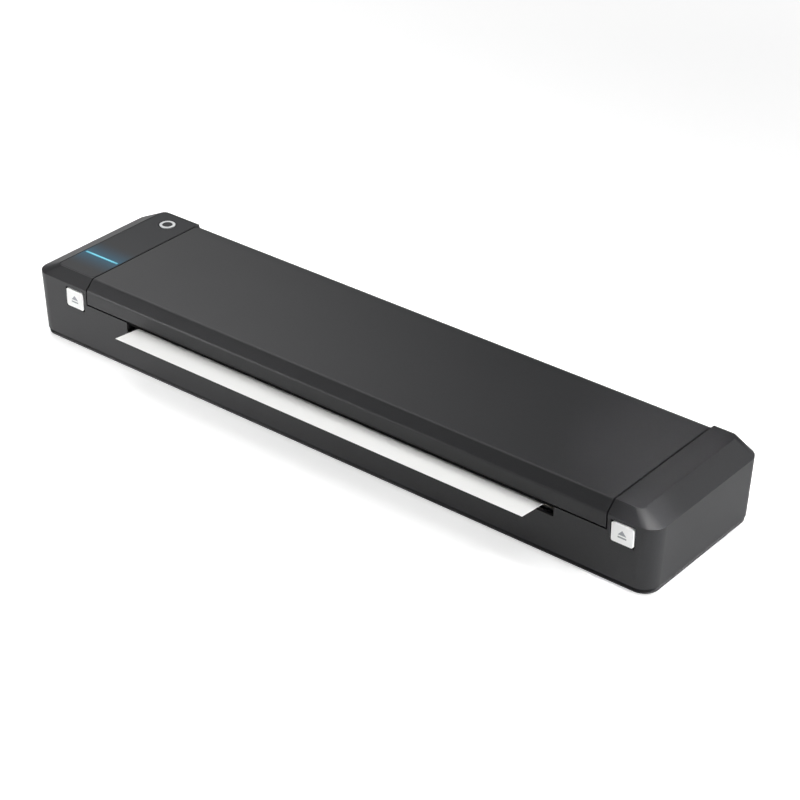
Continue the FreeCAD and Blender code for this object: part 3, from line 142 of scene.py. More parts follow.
for name, place, aim, width, height, spread, power in (
        ("softbox_top", (0.0, 0.0, 1.2), (0.0, 0.0, 0.0), 1.2, 0.6, 180, 6.0),
        ("softbox_right_rear", (0.70, 0.90, 0.50), (0.15, 0.0, 0.02), 0.5, 0.5, 30, 0.38),
        ("softbox_right_low", (0.85, -0.05, 0.16), (0.16, 0.0, 0.018), 0.4, 0.2, 30, 0.33),
        ("softbox_right_high", (0.62, 0.30, 0.75), (0.155, 0.0, 0.03), 0.3, 0.3, 16, 0.095),
        ("softbox_front_left", (-0.42, -0.48, 0.20), (-0.14, -0.035, 0.02), 0.25, 0.2, 40, 0.15),
        ("softbox_left", (-0.38, 0.10, 0.35), (-0.12, 0.0, 0.03), 0.25, 0.25, 180, 0.25),
        ("softbox_left_high", (-0.42, 0.25, 0.50), (-0.13, 0.0, 0.034), 0.3, 0.3, 60, 0.125),
        ("softbox_rear_left", (-0.75, 0.50, 0.42), (-0.13, 0.0, 0.034), 0.3, 0.3, 60, 0.02),
        ("snoot_right_end", (-0.34, 0.60, 0.50), (0.151, -0.002, 0.034), 0.04, 0.04, 5, 0.0007),
        ("snoot_right_button", (0.30, -0.80, 0.10), (0.146, -0.036, 0.024), 0.1, 0.1, 8, 0.002),
        ("snoot_right_corner", (0.396, -0.119, 0.570), (0.1555, -0.0310, 0.031), 0.02, 0.02, 1.6, 0.002)):
    lamp = bpy.data.objects.new(name, bpy.data.lights.new(name, "AREA"))
    lamp.data.shape = "RECTANGLE"
    lamp.data.size, lamp.data.size_y = width, height
    lamp.data.spread = math.radians(spread)
    lamp.data.energy = power
    lamp.location = place
    lamp.rotation_euler = (Vector(aim) - Vector(place)).to_track_quat("-Z", "Y").to_euler()
    scene.collection.objects.link(lamp)


# Housing: one ABS moulding with front wall, end caps and rear wall, from a spark-eroded tool, so
# its skin is matt with a fine grain. The tool leaves small radii on every outer edge.
def moulded(name, code, roughness, grain, depth, speckle, sheen):
    """Moulded plastic: fine eroded grain in mm, and a slow drift of tone and gloss over the part."""
    drift, tone_play, gloss_play, bump_height = 38.0, 0.04, 0.012, 0.05
    span = {"From Min": 0.3, "From Max": 0.7}
    made = bpy.data.materials.new(name)
    made.use_nodes = True
    tree = made.node_tree
    skin = tree.nodes["Principled BSDF"]
    place = knot(tree, "ShaderNodeTexCoord").outputs["Object"]
    slow = knot(tree, "ShaderNodeTexNoise", {"Vector": place, "Scale": 1 / (drift * MM), "Detail": 3.0})
    fine = knot(tree, "ShaderNodeTexNoise", {"Vector": place, "Scale": 1 / (grain * MM), "Detail": 2.0})
    base = linear(code)
    dark = [part * (1 - tone_play) for part in base[:3]] + [1.0]
    light = [part * (1 + tone_play) for part in base[:3]] + [1.0]
    tone = knot(tree, "ShaderNodeMix", {0: slow.outputs["Fac"], 6: dark, 7: light}, data_type="RGBA")
    speck = knot(tree, "ShaderNodeMapRange", {"Value": fine.outputs["Fac"], **span,
                                              "To Min": 1 - speckle, "To Max": 1 + speckle})
    colour = knot(tree, "ShaderNodeMix", {0: 1.0, 6: tone.outputs[2], 7: speck.outputs[0]},
                  data_type="RGBA", blend_type="MULTIPLY")
    gloss = knot(tree, "ShaderNodeMapRange", {"Value": slow.outputs["Fac"], **span,
                                              "To Min": roughness - gloss_play,
                                              "To Max": roughness + gloss_play})
    bump = knot(tree, "ShaderNodeBump", {"Height": fine.outputs["Fac"], "Strength": depth,
                                         "Distance": bump_height * MM})
    tree.links.new(colour.outputs[2], skin.inputs["Base Color"])
    tree.links.new(gloss.outputs[0], skin.inputs["Roughness"])
    tree.links.new(bump.outputs[0], skin.inputs["Normal"])
    skin.inputs["IOR"].default_value = 1.52
    skin.inputs["Specular IOR Level"].default_value = sheen
    return made


def rounded_copy(node, name, crease, edge, ends=True, foot=0.0):
    """Copy of a CAD node with its facets merged and radii, in mm, on its outer edges: crease where two
    outer faces meet, edge where one turns into an opening. Without ends, a face across X counts as an
    opening, as it has a neighbour there; below the height foot every outer edge has the radius edge."""
    weld, stand_off = 0.004 * MM, 0.02 * MM
    facet_angle, edge_angle, sharp_angle = math.radians(0.6), math.radians(20), math.radians(28)
    source = nodes[node].data.copy()
    if "custom_normal" in source.attributes:
        source.attributes.remove(source.attributes["custom_normal"])
    solid = bmesh.new()
    solid.from_mesh(source)
    bpy.data.meshes.remove(source)
    bmesh.ops.remove_doubles(solid, verts=solid.verts, dist=weld)
    bmesh.ops.dissolve_limit(solid, angle_limit=facet_angle, verts=solid.verts, edges=solid.edges)
    for radius, segments, small in ((crease, 3, False), (edge, 2, True)):
        solid.faces.ensure_lookup_table()
        hull = BVHTree.FromBMesh(solid)
        outer = {}
        for face in solid.faces:
            middle = face.calc_center_median()
            outer[face] = (hull.ray_cast(middle + face.normal * stand_off, face.normal)[0] is None
                           and (ends or abs(face.normal.x) < 0.9))
        chosen = []
        for line in solid.edges:
            if (len(line.link_faces) == 2 and line.is_convex and line.calc_face_angle() > edge_angle
                    and line.calc_length() > 0.9 * radius * MM):
                seen = sum(outer[face] for face in line.link_faces)
                under = all(corner.co.z < foot * MM for corner in line.verts)
                if seen and (seen == 1 or under) == small:
                    chosen.append(line)
        bmesh.ops.bevel(solid, geom=chosen, offset=radius * MM, offset_type="OFFSET", segments=segments,
                        profile=0.5, affect="EDGES", clamp_overlap=True, material=-1)
    mesh = bpy.data.meshes.new(name)
    solid.to_mesh(mesh)
    solid.free()
    mesh.shade_smooth()
    mesh.set_sharp_from_angle(angle=sharp_angle)
    made = bpy.data.objects.new(name, mesh)
    scene.collection.objects.link(made)
    made.modifiers.new("flat_faces", "WEIGHTED_NORMAL").keep_sharp = True
    return made


black_abs = moulded("abs_black_spark_eroded", "#1f1f21", roughness=0.5, grain=0.55, depth=0.35,
                    speckle=0.12, sheen=0.4)
housing = rounded_copy("main_housing", "housing_moulding", crease=0.9, edge=0.2, foot=3.2)
housing.data.materials.append(black_abs)
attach(housing, "base")
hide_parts("main_housing")


# Bottom cover: a flat ABS plate in a black a little lighter than the housing's, as painted light for
# its lit rim, with a groove round its rim, which shows as a dark seam under the housing. It stands on
# three rubber strips. Four zinc-plated countersunk screws with cross recesses hold it, their heads
# flush in the plate.
def dress(name, material):
    """Gives a CAD node its material."""
    nodes[name].data.materials.clear()
    nodes[name].data.materials.append(material)


def metal(name, code, roughness, grain, stretch):
    """Bare metal: fine lines, in mm, drawn out along X by rolling or grinding, with a drift of gloss."""
    drift, dark_line, light_line, gloss_play, line_depth = 14.0, 0.82, 1.12, 0.08, 0.02
    made = bpy.data.materials.new(name)
    made.use_nodes = True
    tree = made.node_tree
    skin = tree.nodes["Principled BSDF"]
    place = knot(tree, "ShaderNodeTexCoord").outputs["Object"]
    drawn = knot(tree, "ShaderNodeMapping", {"Vector": place, "Scale": (1 / stretch, 1.0, 1.0)})
    lines = knot(tree, "ShaderNodeTexNoise", {"Vector": drawn.outputs[0], "Scale": 1 / (grain * MM),
                                              "Detail": 3.0})
    slow = knot(tree, "ShaderNodeTexNoise", {"Vector": place, "Scale": 1 / (drift * MM), "Detail": 2.0})
    base = linear(code)
    dark = [part * dark_line for part in base[:3]] + [1.0]
    light = [min(part * light_line, 1.0) for part in base[:3]] + [1.0]
    tone = knot(tree, "ShaderNodeMix", {0: lines.outputs["Fac"], 6: dark, 7: light}, data_type="RGBA")
    blend = knot(tree, "ShaderNodeMath", {0: lines.outputs["Fac"], 1: slow.outputs["Fac"]},
                 operation="MULTIPLY")
    gloss = knot(tree, "ShaderNodeMapRange", {"Value": blend.outputs[0], "From Min": 0.1, "From Max": 0.4,
                                              "To Min": roughness - gloss_play,
                                              "To Max": roughness + gloss_play})
    bump = knot(tree, "ShaderNodeBump", {"Height": lines.outputs["Fac"], "Strength": 0.2,
                                         "Distance": line_depth * MM})
    tree.links.new(tone.outputs[2], skin.inputs["Base Color"])
    tree.links.new(gloss.outputs[0], skin.inputs["Roughness"])
    tree.links.new(bump.outputs[0], skin.inputs["Normal"])
    skin.inputs["Metallic"].default_value = 1.0
    return made


def box_of(name):
    """Low and high corner of a CAD node at rest, in mm."""
    return [Vector(corner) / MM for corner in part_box(name)]


def lathe(shape, profile, closed=False):
    """Turns (radius, height) points, in mm, about Z; a closed profile makes a ring."""
    points = [shape.verts.new((radius, 0.0, height)) for radius, height in profile]
    following = points[1:] + points[:1] if closed else points[1:]
    lines = [shape.edges.new(pair) for pair in zip(points, following)]
    bmesh.ops.spin(shape, geom=points + lines, cent=(0, 0, 0), axis=(0, 0, 1), angle=2 * math.pi, steps=28,
                   use_merge=True)
    bmesh.ops.remove_doubles(shape, verts=shape.verts, dist=0.001)


def cross_screw(profile, recess):
    """Mesh of a screw along Z, turned from a profile that ends on the rim of its flat top, with a cross
    recess sunk in the top; recess is half the width of the cross in mm."""
    arm, taper, sink = 0.26, 0.7, 0.8
    shape = bmesh.new()
    lathe(shape, profile)
    rim = [line for line in shape.edges if line.is_boundary]
    top, half = profile[-1][1], recess * arm
    corners = [shape.verts.new((x, y, top)) for x, y in (
        (half, recess), (half, half), (recess, half),
        (recess, -half), (half, -half), (half, -recess),
        (-half, -recess), (-half, -half), (-recess, -half),
        (-recess, half), (-half, half), (-half, recess))]
    cross = [shape.edges.new((corners[spot - 1], corners[spot])) for spot in range(len(corners))]
    bmesh.ops.triangle_fill(shape, use_beauty=True, edges=rim + cross, normal=(0, 0, 1))
    sunk = bmesh.ops.extrude_edge_only(shape, edges=cross)["geom"]
    foot = [item for item in sunk if isinstance(item, bmesh.types.BMVert)]
    bmesh.ops.scale(shape, vec=(taper, taper, 1.0), verts=foot)
    bmesh.ops.translate(shape, vec=(0, 0, -sink * recess), verts=foot)
    bmesh.ops.edgeloop_fill(shape, edges=[item for item in sunk if isinstance(item, bmesh.types.BMEdge)])
    mesh = bpy.data.meshes.new("screw")
    shape.to_mesh(mesh)
    shape.free()
    return mesh


def set_down(shape, mesh, place, axis):
    """Adds a mesh made along Z to a shape, at a place and along an axis."""
    before = len(shape.verts)
    shape.from_mesh(mesh)
    shape.verts.ensure_lookup_table()
    spot = Matrix.Translation(place) @ Vector(axis).to_track_quat("Z", "Y").to_matrix().to_4x4()
    bmesh.ops.transform(shape, matrix=spot, verts=shape.verts[before:])


def finish_piece(name, body, shape, material):
    """Turns a mesh in mm into a shaded piece that rides a body."""
    bmesh.ops.scale(shape, vec=(MM, MM, MM), verts=shape.verts)
    bmesh.ops.recalc_face_normals(shape, faces=shape.faces)
    mesh = bpy.data.meshes.new(name)
    shape.to_mesh(mesh)
    shape.free()
    mesh.shade_smooth()
    mesh.set_sharp_from_angle(angle=math.radians(30))
    mesh.materials.append(material)
    made = bpy.data.objects.new(name, mesh)
    scene.collection.objects.link(made)
    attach(made, body)
    return made


plate = rounded_copy("bottom_cover", "base_plate", crease=0.25, edge=0.15)
low, high = box_of("bottom_cover")
ledge, rise, depth, stand_off = 1.9, 0.05, 1.0, 0.02
groove_top = box_of("main_housing")[0].z + 0.1
shape = bmesh.new()
shape.from_mesh(plate.data)
for height in (ledge, ledge + rise):
    bmesh.ops.bisect_plane(shape, geom=shape.verts[:] + shape.edges[:] + shape.faces[:],
                           plane_co=(0, 0, height * MM), plane_no=(0, 0, 1))
hull = BVHTree.FromBMesh(shape)
rim = set()
for face in shape.faces:
    middle = face.calc_center_median()
    if (ledge + rise < middle.z / MM < groove_top and face.normal.z < 0.99
            and hull.ray_cast(middle + face.normal * stand_off * MM, face.normal)[0] is None):
        rim.update(corner for corner in face.verts if corner.co.z / MM > ledge + 0.8 * rise)
bmesh.ops.scale(shape, vec=(1 - depth / high.x, 1 - depth / high.y, 1), verts=list(rim))
shape.to_mesh(plate.data)
shape.free()
# Painted light: the plate's black is lighter than the housing's, for light on its rim.
plate.data.materials.append(moulded("abs_black_base_painted_light", "#242426", roughness=0.5, grain=0.6, depth=0.3,
                                    speckle=0.12, sheen=0.4))
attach(plate, "base")
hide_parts("bottom_cover")
dress("rubber_feet", moulded("rubber_black_foot", "#1a1a1a", roughness=0.85, grain=0.35, depth=0.6,
                             speckle=0.1, sheen=0.3))
zinc = metal("zinc_plated_steel", "#a9adb0", roughness=0.36, grain=0.5, stretch=1.0)
low, high = box_of("case_screws")
head, shank, length, bare = 2.4, 1.2, high.z - low.z, 3.0
thread_pitch, thread_depth, rim_flat = 0.5, 0.25, 0.05
tip = [(0.0, 0.0), (0.8, 0.1)]
thread = [(shank - thread_depth * (turn % 2), thread_pitch + thread_pitch * turn)
          for turn in range(int((length - bare) / thread_pitch))]
cone = [(shank, length - head + shank), (head, length - rim_flat), (head - rim_flat, length)]
screw = cross_screw(tip + thread + cone, recess=1.5)
shape = bmesh.new()
for x in (low.x + head, high.x - head):
    for y in (low.y + head, high.y - head):
        set_down(shape, screw, (x, y, high.z), (0, 0, -1))
screws = finish_piece("countersunk_screws", "base", shape, zinc)
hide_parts("case_screws")


# Top cover: the hinged lid, moulded in the same ABS, with a 45 degree bevel along its front. It
# turns on two ground steel pins.
cover = rounded_copy("top_cover", "cover_moulding", crease=0.7, edge=0.15, ends=False)
cover.data.materials.append(black_abs)
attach(cover, "cover")
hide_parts("top_cover")
ground_steel = metal("ground_steel", "#b9bbbd", roughness=0.24, grain=0.25, stretch=8.0)
dress("hinge_pins", ground_steel)


# Cover liner: a dark grey ABS plate that stiffens the lid and carries the platen brackets. Ribs
# run under it both ways, and six pan-head screws fix it to the lid.
def block(shape, low, high, edge):
    """Block between two corners in mm, with small radii on its edges."""
    low, high = Vector(low), Vector(high)
    spot = Matrix.Translation((low + high) / 2) @ Matrix.Diagonal((*(high - low), 1.0))
    made = bmesh.ops.create_cube(shape, size=1.0, matrix=spot)
    lines = {line for vertex in made["verts"] for line in vertex.link_edges}
    bmesh.ops.bevel(shape, geom=list(lines), offset=edge, offset_type="OFFSET", segments=2, profile=0.5,
                    affect="EDGES", clamp_overlap=True, material=-1)


grey_abs = moulded("abs_dark_grey_liner", "#37393b", roughness=0.5, grain=0.6, depth=0.3,
                   speckle=0.08, sheen=0.4)
dress("cover_liner", grey_abs)
low, high = box_of("cover_liner")
liner_thick, rib_depth, rib_bite, rib_half, rib_edge = 1.2, 0.9, 0.2, 0.5, 0.2
ribs, rib_margin, beam_margin = 9, 40.0, 36.0
under = high.z - liner_thick
rib_low, rib_high = under - rib_depth, under + rib_bite
rib_front, rib_rear = low.y + 14.0, high.y - 2.0
shape = bmesh.new()
for step in range(ribs):
    x = low.x + rib_margin + step * (high.x - low.x - 2 * rib_margin) / (ribs - 1)
    block(shape, (x - rib_half, rib_front, rib_low), (x + rib_half, rib_rear, rib_high), rib_edge)
for y in (rib_front, rib_rear):
    block(shape, (low.x + beam_margin, y - rib_half, rib_low),
          (high.x - beam_margin, y + rib_half, rib_high), rib_edge)
finish_piece("liner_ribs", "cover", shape, grey_abs)
pan_head = [(0.0, -0.3), (1.2, -0.3), (2.2, 0.0), (2.2, 0.66), (2.0, 1.05), (1.5, 1.32)]
pan_screw = cross_screw(pan_head, recess=1.1)
screw_margin, beside_rib, beside_beam = 10.0, 12.0, 2.5
shape = bmesh.new()
for x in (low.x + screw_margin, (low.x + high.x) / 2 + beside_rib, high.x - screw_margin):
    for y in (rib_front + beside_beam, rib_rear - beside_beam):
        set_down(shape, pan_screw, (x, y, under), (0, 0, -1))
finish_piece("liner_screws", "cover", shape, zinc)


# Tear bar: a strip of stainless steel behind the lip of the lid, with fine teeth along its lower
# edge. In front of it a near-black strip hangs under the lip over the whole paper slot: painted
# shade, a dark sheet where the slot opening lies in shadow.
low, high = box_of("tear_bar")
teeth, tooth_depth = 150, 0.9
shape = bmesh.new()
middle = Vector(((low.x + high.x) / 2, low.y, (low.z + high.z) / 2))
flat = Matrix.Translation(middle) @ Matrix.Rotation(math.pi / 2, 4, "X")
bmesh.ops.create_grid(shape, x_segments=2 * teeth, y_segments=1, size=0.5,
                      matrix=flat @ Matrix.Diagonal((high.x - low.x, high.z - low.z, 1.0, 1.0)))
edge = sorted((vertex for vertex in shape.verts if vertex.co.z < low.z + 0.01),
              key=lambda vertex: vertex.co.x)
bmesh.ops.translate(shape, vec=(0, 0, tooth_depth), verts=edge[1::2])
back = bmesh.ops.extrude_face_region(shape, geom=shape.faces)["geom"]
bmesh.ops.translate(shape, vec=(0, high.y - low.y, 0), verts=[item for item in back
                                                              if isinstance(item, bmesh.types.BMVert)])
stainless = metal("stainless_sheet", "#c2c4c5", roughness=0.3, grain=0.3, stretch=10.0)
blade = finish_piece("tear_blade", "cover", shape, stainless)
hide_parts("tear_bar")
lip_front, lip_foot = box_of("top_cover")[0].y, 23.5
# Painted shade: a near-black strip under the lip stands in for the shadow in the slot opening.
past_bar, shade_strip_front, shade_strip_rear, shade_strip_hang, shade_strip_bite = 5.2, 0.25, 1.6, 1.05, 0.1
painted_shade_strip = moulded("black_painted_shade_strip", "#080808", roughness=0.95, grain=0.3, depth=0.8,
               speckle=0.2, sheen=0.1)
shape = bmesh.new()
block(shape, (low.x - past_bar, lip_front + shade_strip_front, lip_foot - shade_strip_hang),
      (high.x + past_bar, lip_front + shade_strip_rear, lip_foot + shade_strip_bite), edge=0.15)
finish_piece("slot_painted_shade_strip", "cover", shape, painted_shade_strip)


# Paper: white thermal sheet with a smooth coated face. It comes off a roll on a kraft core; the
# ends of the roll show its turns as fine rings, drawn coarser than the real turns.
def rings_about(tree, centre, pitch):
    """Wave between 0 and 1 that repeats at a pitch in mm outwards from an axis along X."""
    place = knot(tree, "ShaderNodeTexCoord").outputs["Object"]
    moved = knot(tree, "ShaderNodeVectorMath", {0: place, 1: (0.0, centre.y * MM, centre.z * MM)},
                 operation="SUBTRACT")
    flat = knot(tree, "ShaderNodeVectorMath", {0: moved.outputs[0], 1: (0.0, 1.0, 1.0)},
                operation="MULTIPLY")
    away = knot(tree, "ShaderNodeVectorMath", {0: flat.outputs[0]}, operation="LENGTH").outputs["Value"]
    turns = knot(tree, "ShaderNodeMath", {0: away, 1: 2 * math.pi / (pitch * MM)}, operation="MULTIPLY")
    wave = knot(tree, "ShaderNodeMath", {0: turns.outputs[0]}, operation="SINE")
    return knot(tree, "ShaderNodeMapRange", {"Value": wave.outputs[0], "From Min": -1.0}).outputs[0]


paper = moulded("thermal_paper", "#f6f6f4", roughness=0.55, grain=0.4, depth=0.08,
                speckle=0.006, sheen=0.4)
dress("paper_web", paper)
wound = moulded("thermal_paper_wound", "#f4f4f1", roughness=0.6, grain=0.4, depth=0.08,
                speckle=0.006, sheen=0.4)
tree = wound.node_tree
skin = tree.nodes["Principled BSDF"]
low, high = box_of("paper_roll")
turns = rings_about(tree, (low + high) / 2, pitch=0.55)
plain = skin.inputs["Base Color"].links[0].from_socket
shaded = knot(tree, "ShaderNodeMapRange", {"Value": turns, "To Min": 0.86, "To Max": 1.0})
ringed = knot(tree, "ShaderNodeMix", {0: 1.0, 6: plain, 7: shaded.outputs[0]}, data_type="RGBA",
              blend_type="MULTIPLY")
tree.links.new(ringed.outputs[2], skin.inputs["Base Color"])
dress("paper_roll", wound)
dress("roll_core", moulded("kraft_board", "#a98660", roughness=0.8, grain=0.7, depth=0.4,
                           speckle=0.08, sheen=0.3))


# Release buttons: glossy white ABS caps in the two end caps, each with a printed opening sign, a
# triangle over a bar. Each cap carries a black acetal hook, with a folded spring behind it.
def stamp(shape, points, front, back):
    """Flat sign with an outline of (x, z) points, between two planes along Y; all in mm."""
    face = shape.faces.new([shape.verts.new((x, front, z)) for x, z in points])
    made = bmesh.ops.extrude_face_region(shape, geom=[face])["geom"]
    bmesh.ops.translate(shape, vec=(0, back - front, 0), verts=[item for item in made
                                                                if isinstance(item, bmesh.types.BMVert)])


white_abs = moulded("abs_white_polished", "#f8f8f7", roughness=0.25, grain=0.5, depth=0.03,
                    speckle=0.004, sheen=0.5)
grey_print = moulded("pad_print_grey", "#9a9da0", roughness=0.5, grain=0.3, depth=0.05,
                     speckle=0.05, sheen=0.4)
black_acetal = moulded("acetal_black", "#1d1e20", roughness=0.38, grain=0.5, depth=0.1,
                       speckle=0.06, sheen=0.45)
spring_steel = metal("spring_steel", "#8f9294", roughness=0.32, grain=0.3, stretch=6.0)
cap_scale, ink, spring_play = 0.965, 0.03, 0.1
sign_half, sign_high, triangle_foot, bar_top = 1.9, 1.7, 0.4, 1.0
for side in ("left", "right"):
    cap = rounded_copy(f"release_button_{side}", f"release_cap_{side}", crease=0.35, edge=0.25)
    low, high = box_of(f"release_button_{side}")
    middle = (low + high) / 2 * MM
    for vertex in cap.data.vertices:
        vertex.co.x = middle.x + (vertex.co.x - middle.x) * cap_scale
        vertex.co.z = middle.z + (vertex.co.z - middle.z) * cap_scale
    cap.data.materials.append(white_abs)
    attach(cap, f"release_{side}")
    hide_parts(f"release_button_{side}")
    corners = [vertex.co / MM for vertex in nodes[f"release_button_{side}"].data.vertices]
    face = [corner for corner in corners if corner.y < low.y + 0.1]
    x = (min(corner.x for corner in face) + max(corner.x for corner in face)) / 2
    z = (min(corner.z for corner in face) + max(corner.z for corner in face)) / 2
    front, back = low.y - ink, low.y + 0.1
    left, right, foot = x - sign_half, x + sign_half, z - sign_high
    shape = bmesh.new()
    stamp(shape, [(left, z - triangle_foot), (right, z - triangle_foot), (x, z + sign_high)], front, back)
    stamp(shape, [(left, foot), (right, foot), (right, z - bar_top), (left, z - bar_top)], front, back)
    finish_piece(f"opening_sign_{side}", f"release_{side}", shape, grey_print)
    dress(f"latch_hook_{side}", black_acetal)
    spring = rounded_copy(f"latch_spring_{side}", f"folded_spring_{side}", crease=0.08, edge=0.08)
    spring.data.materials.append(spring_steel)
    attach(spring, "base")
    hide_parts(f"latch_spring_{side}")
    low, high = box_of(f"latch_spring_{side}")
    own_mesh(spring)


# Control panel: a smoother black plate let into the left end cap. Round the bar it carries a painted
# glow, cyan emission that fades over 12 mm from the bar. The bar is a clear polycarbonate guide, lit
# cyan from below.
panel_abs_painted_glow = moulded("abs_black_satin_panel_painted_glow", "#1d1e21", roughness=0.48, grain=0.5, depth=0.15,
                    speckle=0.08, sheen=0.28)
tree = panel_abs_painted_glow.node_tree
skin = tree.nodes["Principled BSDF"]
low, high = box_of("light_bar")
bar_middle = (low + high) / 2
bar_half = (high.x - low.x) / 2 - 0.4
# Painted glow: the panel's own emission, strongest beside the bar and gone at the reach.
painted_glow_start, painted_glow_reach, painted_glow_fall, painted_glow_strength = 0.4, 12.0, 1.8, 0.13
place = knot(tree, "ShaderNodeTexCoord").outputs["Object"]
shift = knot(tree, "ShaderNodeVectorMath", {0: place, 1: bar_middle * MM}, operation="SUBTRACT")
size = knot(tree, "ShaderNodeVectorMath", {0: shift.outputs[0]}, operation="ABSOLUTE")
past = knot(tree, "ShaderNodeVectorMath", {0: size.outputs[0], 1: (bar_half * MM, 0.0, 0.0)},
            operation="SUBTRACT")
clear = knot(tree, "ShaderNodeVectorMath", {0: past.outputs[0], 1: (0.0, 0.0, 0.0)}, operation="MAXIMUM")
flat = knot(tree, "ShaderNodeVectorMath", {0: clear.outputs[0], 1: (1.0, 1.0, 0.0)}, operation="MULTIPLY")
away = knot(tree, "ShaderNodeVectorMath", {0: flat.outputs[0]}, operation="LENGTH").outputs["Value"]
painted_glow_near = knot(tree, "ShaderNodeMapRange", {"Value": away, "From Min": painted_glow_start * MM,
                                         "From Max": painted_glow_reach * MM, "To Min": 1.0, "To Max": 0.0})
painted_glow_falloff = knot(tree, "ShaderNodeMath", {0: painted_glow_near.outputs[0], 1: painted_glow_fall}, operation="POWER")
painted_glow = knot(tree, "ShaderNodeMath", {0: painted_glow_falloff.outputs[0], 1: painted_glow_strength}, operation="MULTIPLY")
skin.inputs["Emission Color"].default_value = linear("#00bcf4")
tree.links.new(painted_glow.outputs[0], skin.inputs["Emission Strength"])
panel = rounded_copy("control_panel", "panel_plate", crease=0.25, edge=0.15)
panel.data.materials.append(panel_abs_painted_glow)
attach(panel, "base")
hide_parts("control_panel")

glowing = moulded("polycarbonate_light_guide_lit", "#3c8ea3", roughness=0.3, grain=0.4, depth=0.05,
                  speckle=0.02, sheen=0.5)
tree = glowing.node_tree
skin = tree.nodes["Principled BSDF"]
place = knot(tree, "ShaderNodeTexCoord").outputs["Object"]
shift = knot(tree, "ShaderNodeVectorMath", {0: place, 1: bar_middle * MM}, operation="SUBTRACT")
across = knot(tree, "ShaderNodeSeparateXYZ", {0: shift.outputs[0]})
side = knot(tree, "ShaderNodeMath", {0: across.outputs["Y"]}, operation="ABSOLUTE")
along = knot(tree, "ShaderNodeMath", {0: across.outputs["X"]}, operation="ABSOLUTE")
core_half, full_share = 0.55, 0.55
core = knot(tree, "ShaderNodeMapRange", {"Value": side.outputs[0], "From Max": core_half * MM,
                                         "To Min": 1.0, "To Max": 0.45})
ends = knot(tree, "ShaderNodeMapRange", {"Value": along.outputs[0], "From Min": bar_half * full_share * MM,
                                         "From Max": bar_half * MM, "To Min": 1.0, "To Max": 0.6})
bright = knot(tree, "ShaderNodeMath", {0: core.outputs[0], 1: ends.outputs[0]}, operation="MULTIPLY")
hue = knot(tree, "ShaderNodeMix", {0: bright.outputs[0], 6: linear("#1a86a4"), 7: linear("#6cbccb")},
           data_type="RGBA")
tree.links.new(hue.outputs[2], skin.inputs["Emission Color"])
tree.links.new(bright.outputs[0], skin.inputs["Emission Strength"])
dress("light_bar", glowing)


# Power button: a black cap in the panel, flush with it and moulded in the same ABS. A pale grey
# ring is let in round its middle.
button = rounded_copy("power_button", "power_cap", crease=0.2, edge=0.1)
button.data.materials.append(panel_abs_painted_glow)
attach(button, "power")
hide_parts("power_button")
dress("power_ring", moulded("abs_pale_grey_ring", "#d2d4d5", roughness=0.4, grain=0.4, depth=0.05,
                            speckle=0.01, sheen=0.4))


# Platen roller: a rubber sleeve ground to a matt face on a ground steel shaft, in two white
# acetal bushes.
dress("platen_shaft", ground_steel)
dress("platen_rubber", moulded("nitrile_rubber_ground", "#2b2c2e", roughness=0.78, grain=0.3, depth=0.5,
                               speckle=0.1, sheen=0.3))
white_acetal = moulded("acetal_white", "#e6e4dc", roughness=0.42, grain=0.5, depth=0.08,
                       speckle=0.02, sheen=0.45)
dress("platen_bushes", white_acetal)


# Gear train: moulded acetal gears on steel studs, each held by a push-on spring washer, and a
# brass pinion on the motor's shaft.
for name in ("platen_gear", "idler_gear", "reduction_gear"):
    dress(name, white_acetal)
dress("gear_studs", ground_steel)
dress("motor_pinion", metal("brass_hobbed", "#c3a35a", roughness=0.3, grain=0.3, stretch=4.0))
shape = bmesh.new()
lathe(shape, [(1.2, 0.0), (2.3, 0.0), (2.5, 0.1), (2.3, 0.22), (1.4, 0.3), (1.2, 0.28)], closed=True)
washer = bpy.data.meshes.new("washer")
shape.to_mesh(washer)
shape.clear()
for name in ("idler_gear", "reduction_gear"):
    low, high = box_of(name)
    set_down(shape, washer, (low.x, (low.y + high.y) / 2, (low.z + high.z) / 2), (-1, 0, 0))
finish_piece("stud_washers", "base", shape, spring_steel)


# Motor: a stepper in a drawn, zinc-plated steel can. It lies in the left end cap, with its flange
# against the bulkhead and its shaft through it.
dress("motor", metal("zinc_plated_can", "#9da1a4", roughness=0.34, grain=0.6, stretch=1.5))


# Mechanism frame: folded zinc-plated sheet under the head, with two side plates. A ground guide bar
# turns the paper up to the nip, and a black sensor looks at it from below.
dress("mechanism_frame", metal("zinc_plated_sheet", "#8f9396", roughness=0.42, grain=0.8, stretch=5.0))
dress("paper_guide_bar", ground_steel)
dress("paper_sensor", black_acetal)


# Print head: a glazed ceramic strip with the heater bead along it, bonded to an aluminium carrier
# that rocks on a steel rod and is pressed up by four leaf springs.
dress("print_head", moulded("alumina_glazed", "#d9d2bf", roughness=0.22, grain=0.5, depth=0.05,
                            speckle=0.02, sheen=0.5))
dress("head_carrier", metal("aluminium_extruded", "#b4b7b9", roughness=0.4, grain=0.5, stretch=12.0))
dress("head_pivot_rod", ground_steel)
dress("head_springs", spring_steel)


# Roll tray: a trough for the roll and a deck over the battery and the main board, moulded in the
# liner's dark grey and screwed down along the deck.
dress("roll_tray", grey_abs)
low, high = box_of("roll_tray")
deck_screws, end_margin, rear_margin = 4, 16.0, 12.0
shape = bmesh.new()
for step in range(deck_screws):
    x = low.x + end_margin + step * (high.x - low.x - 2 * end_margin) / (deck_screws - 1)
    set_down(shape, pan_screw, (x, high.y - rear_margin, high.z), (0, 0, 1))
finish_piece("deck_screws", "base", shape, zinc)


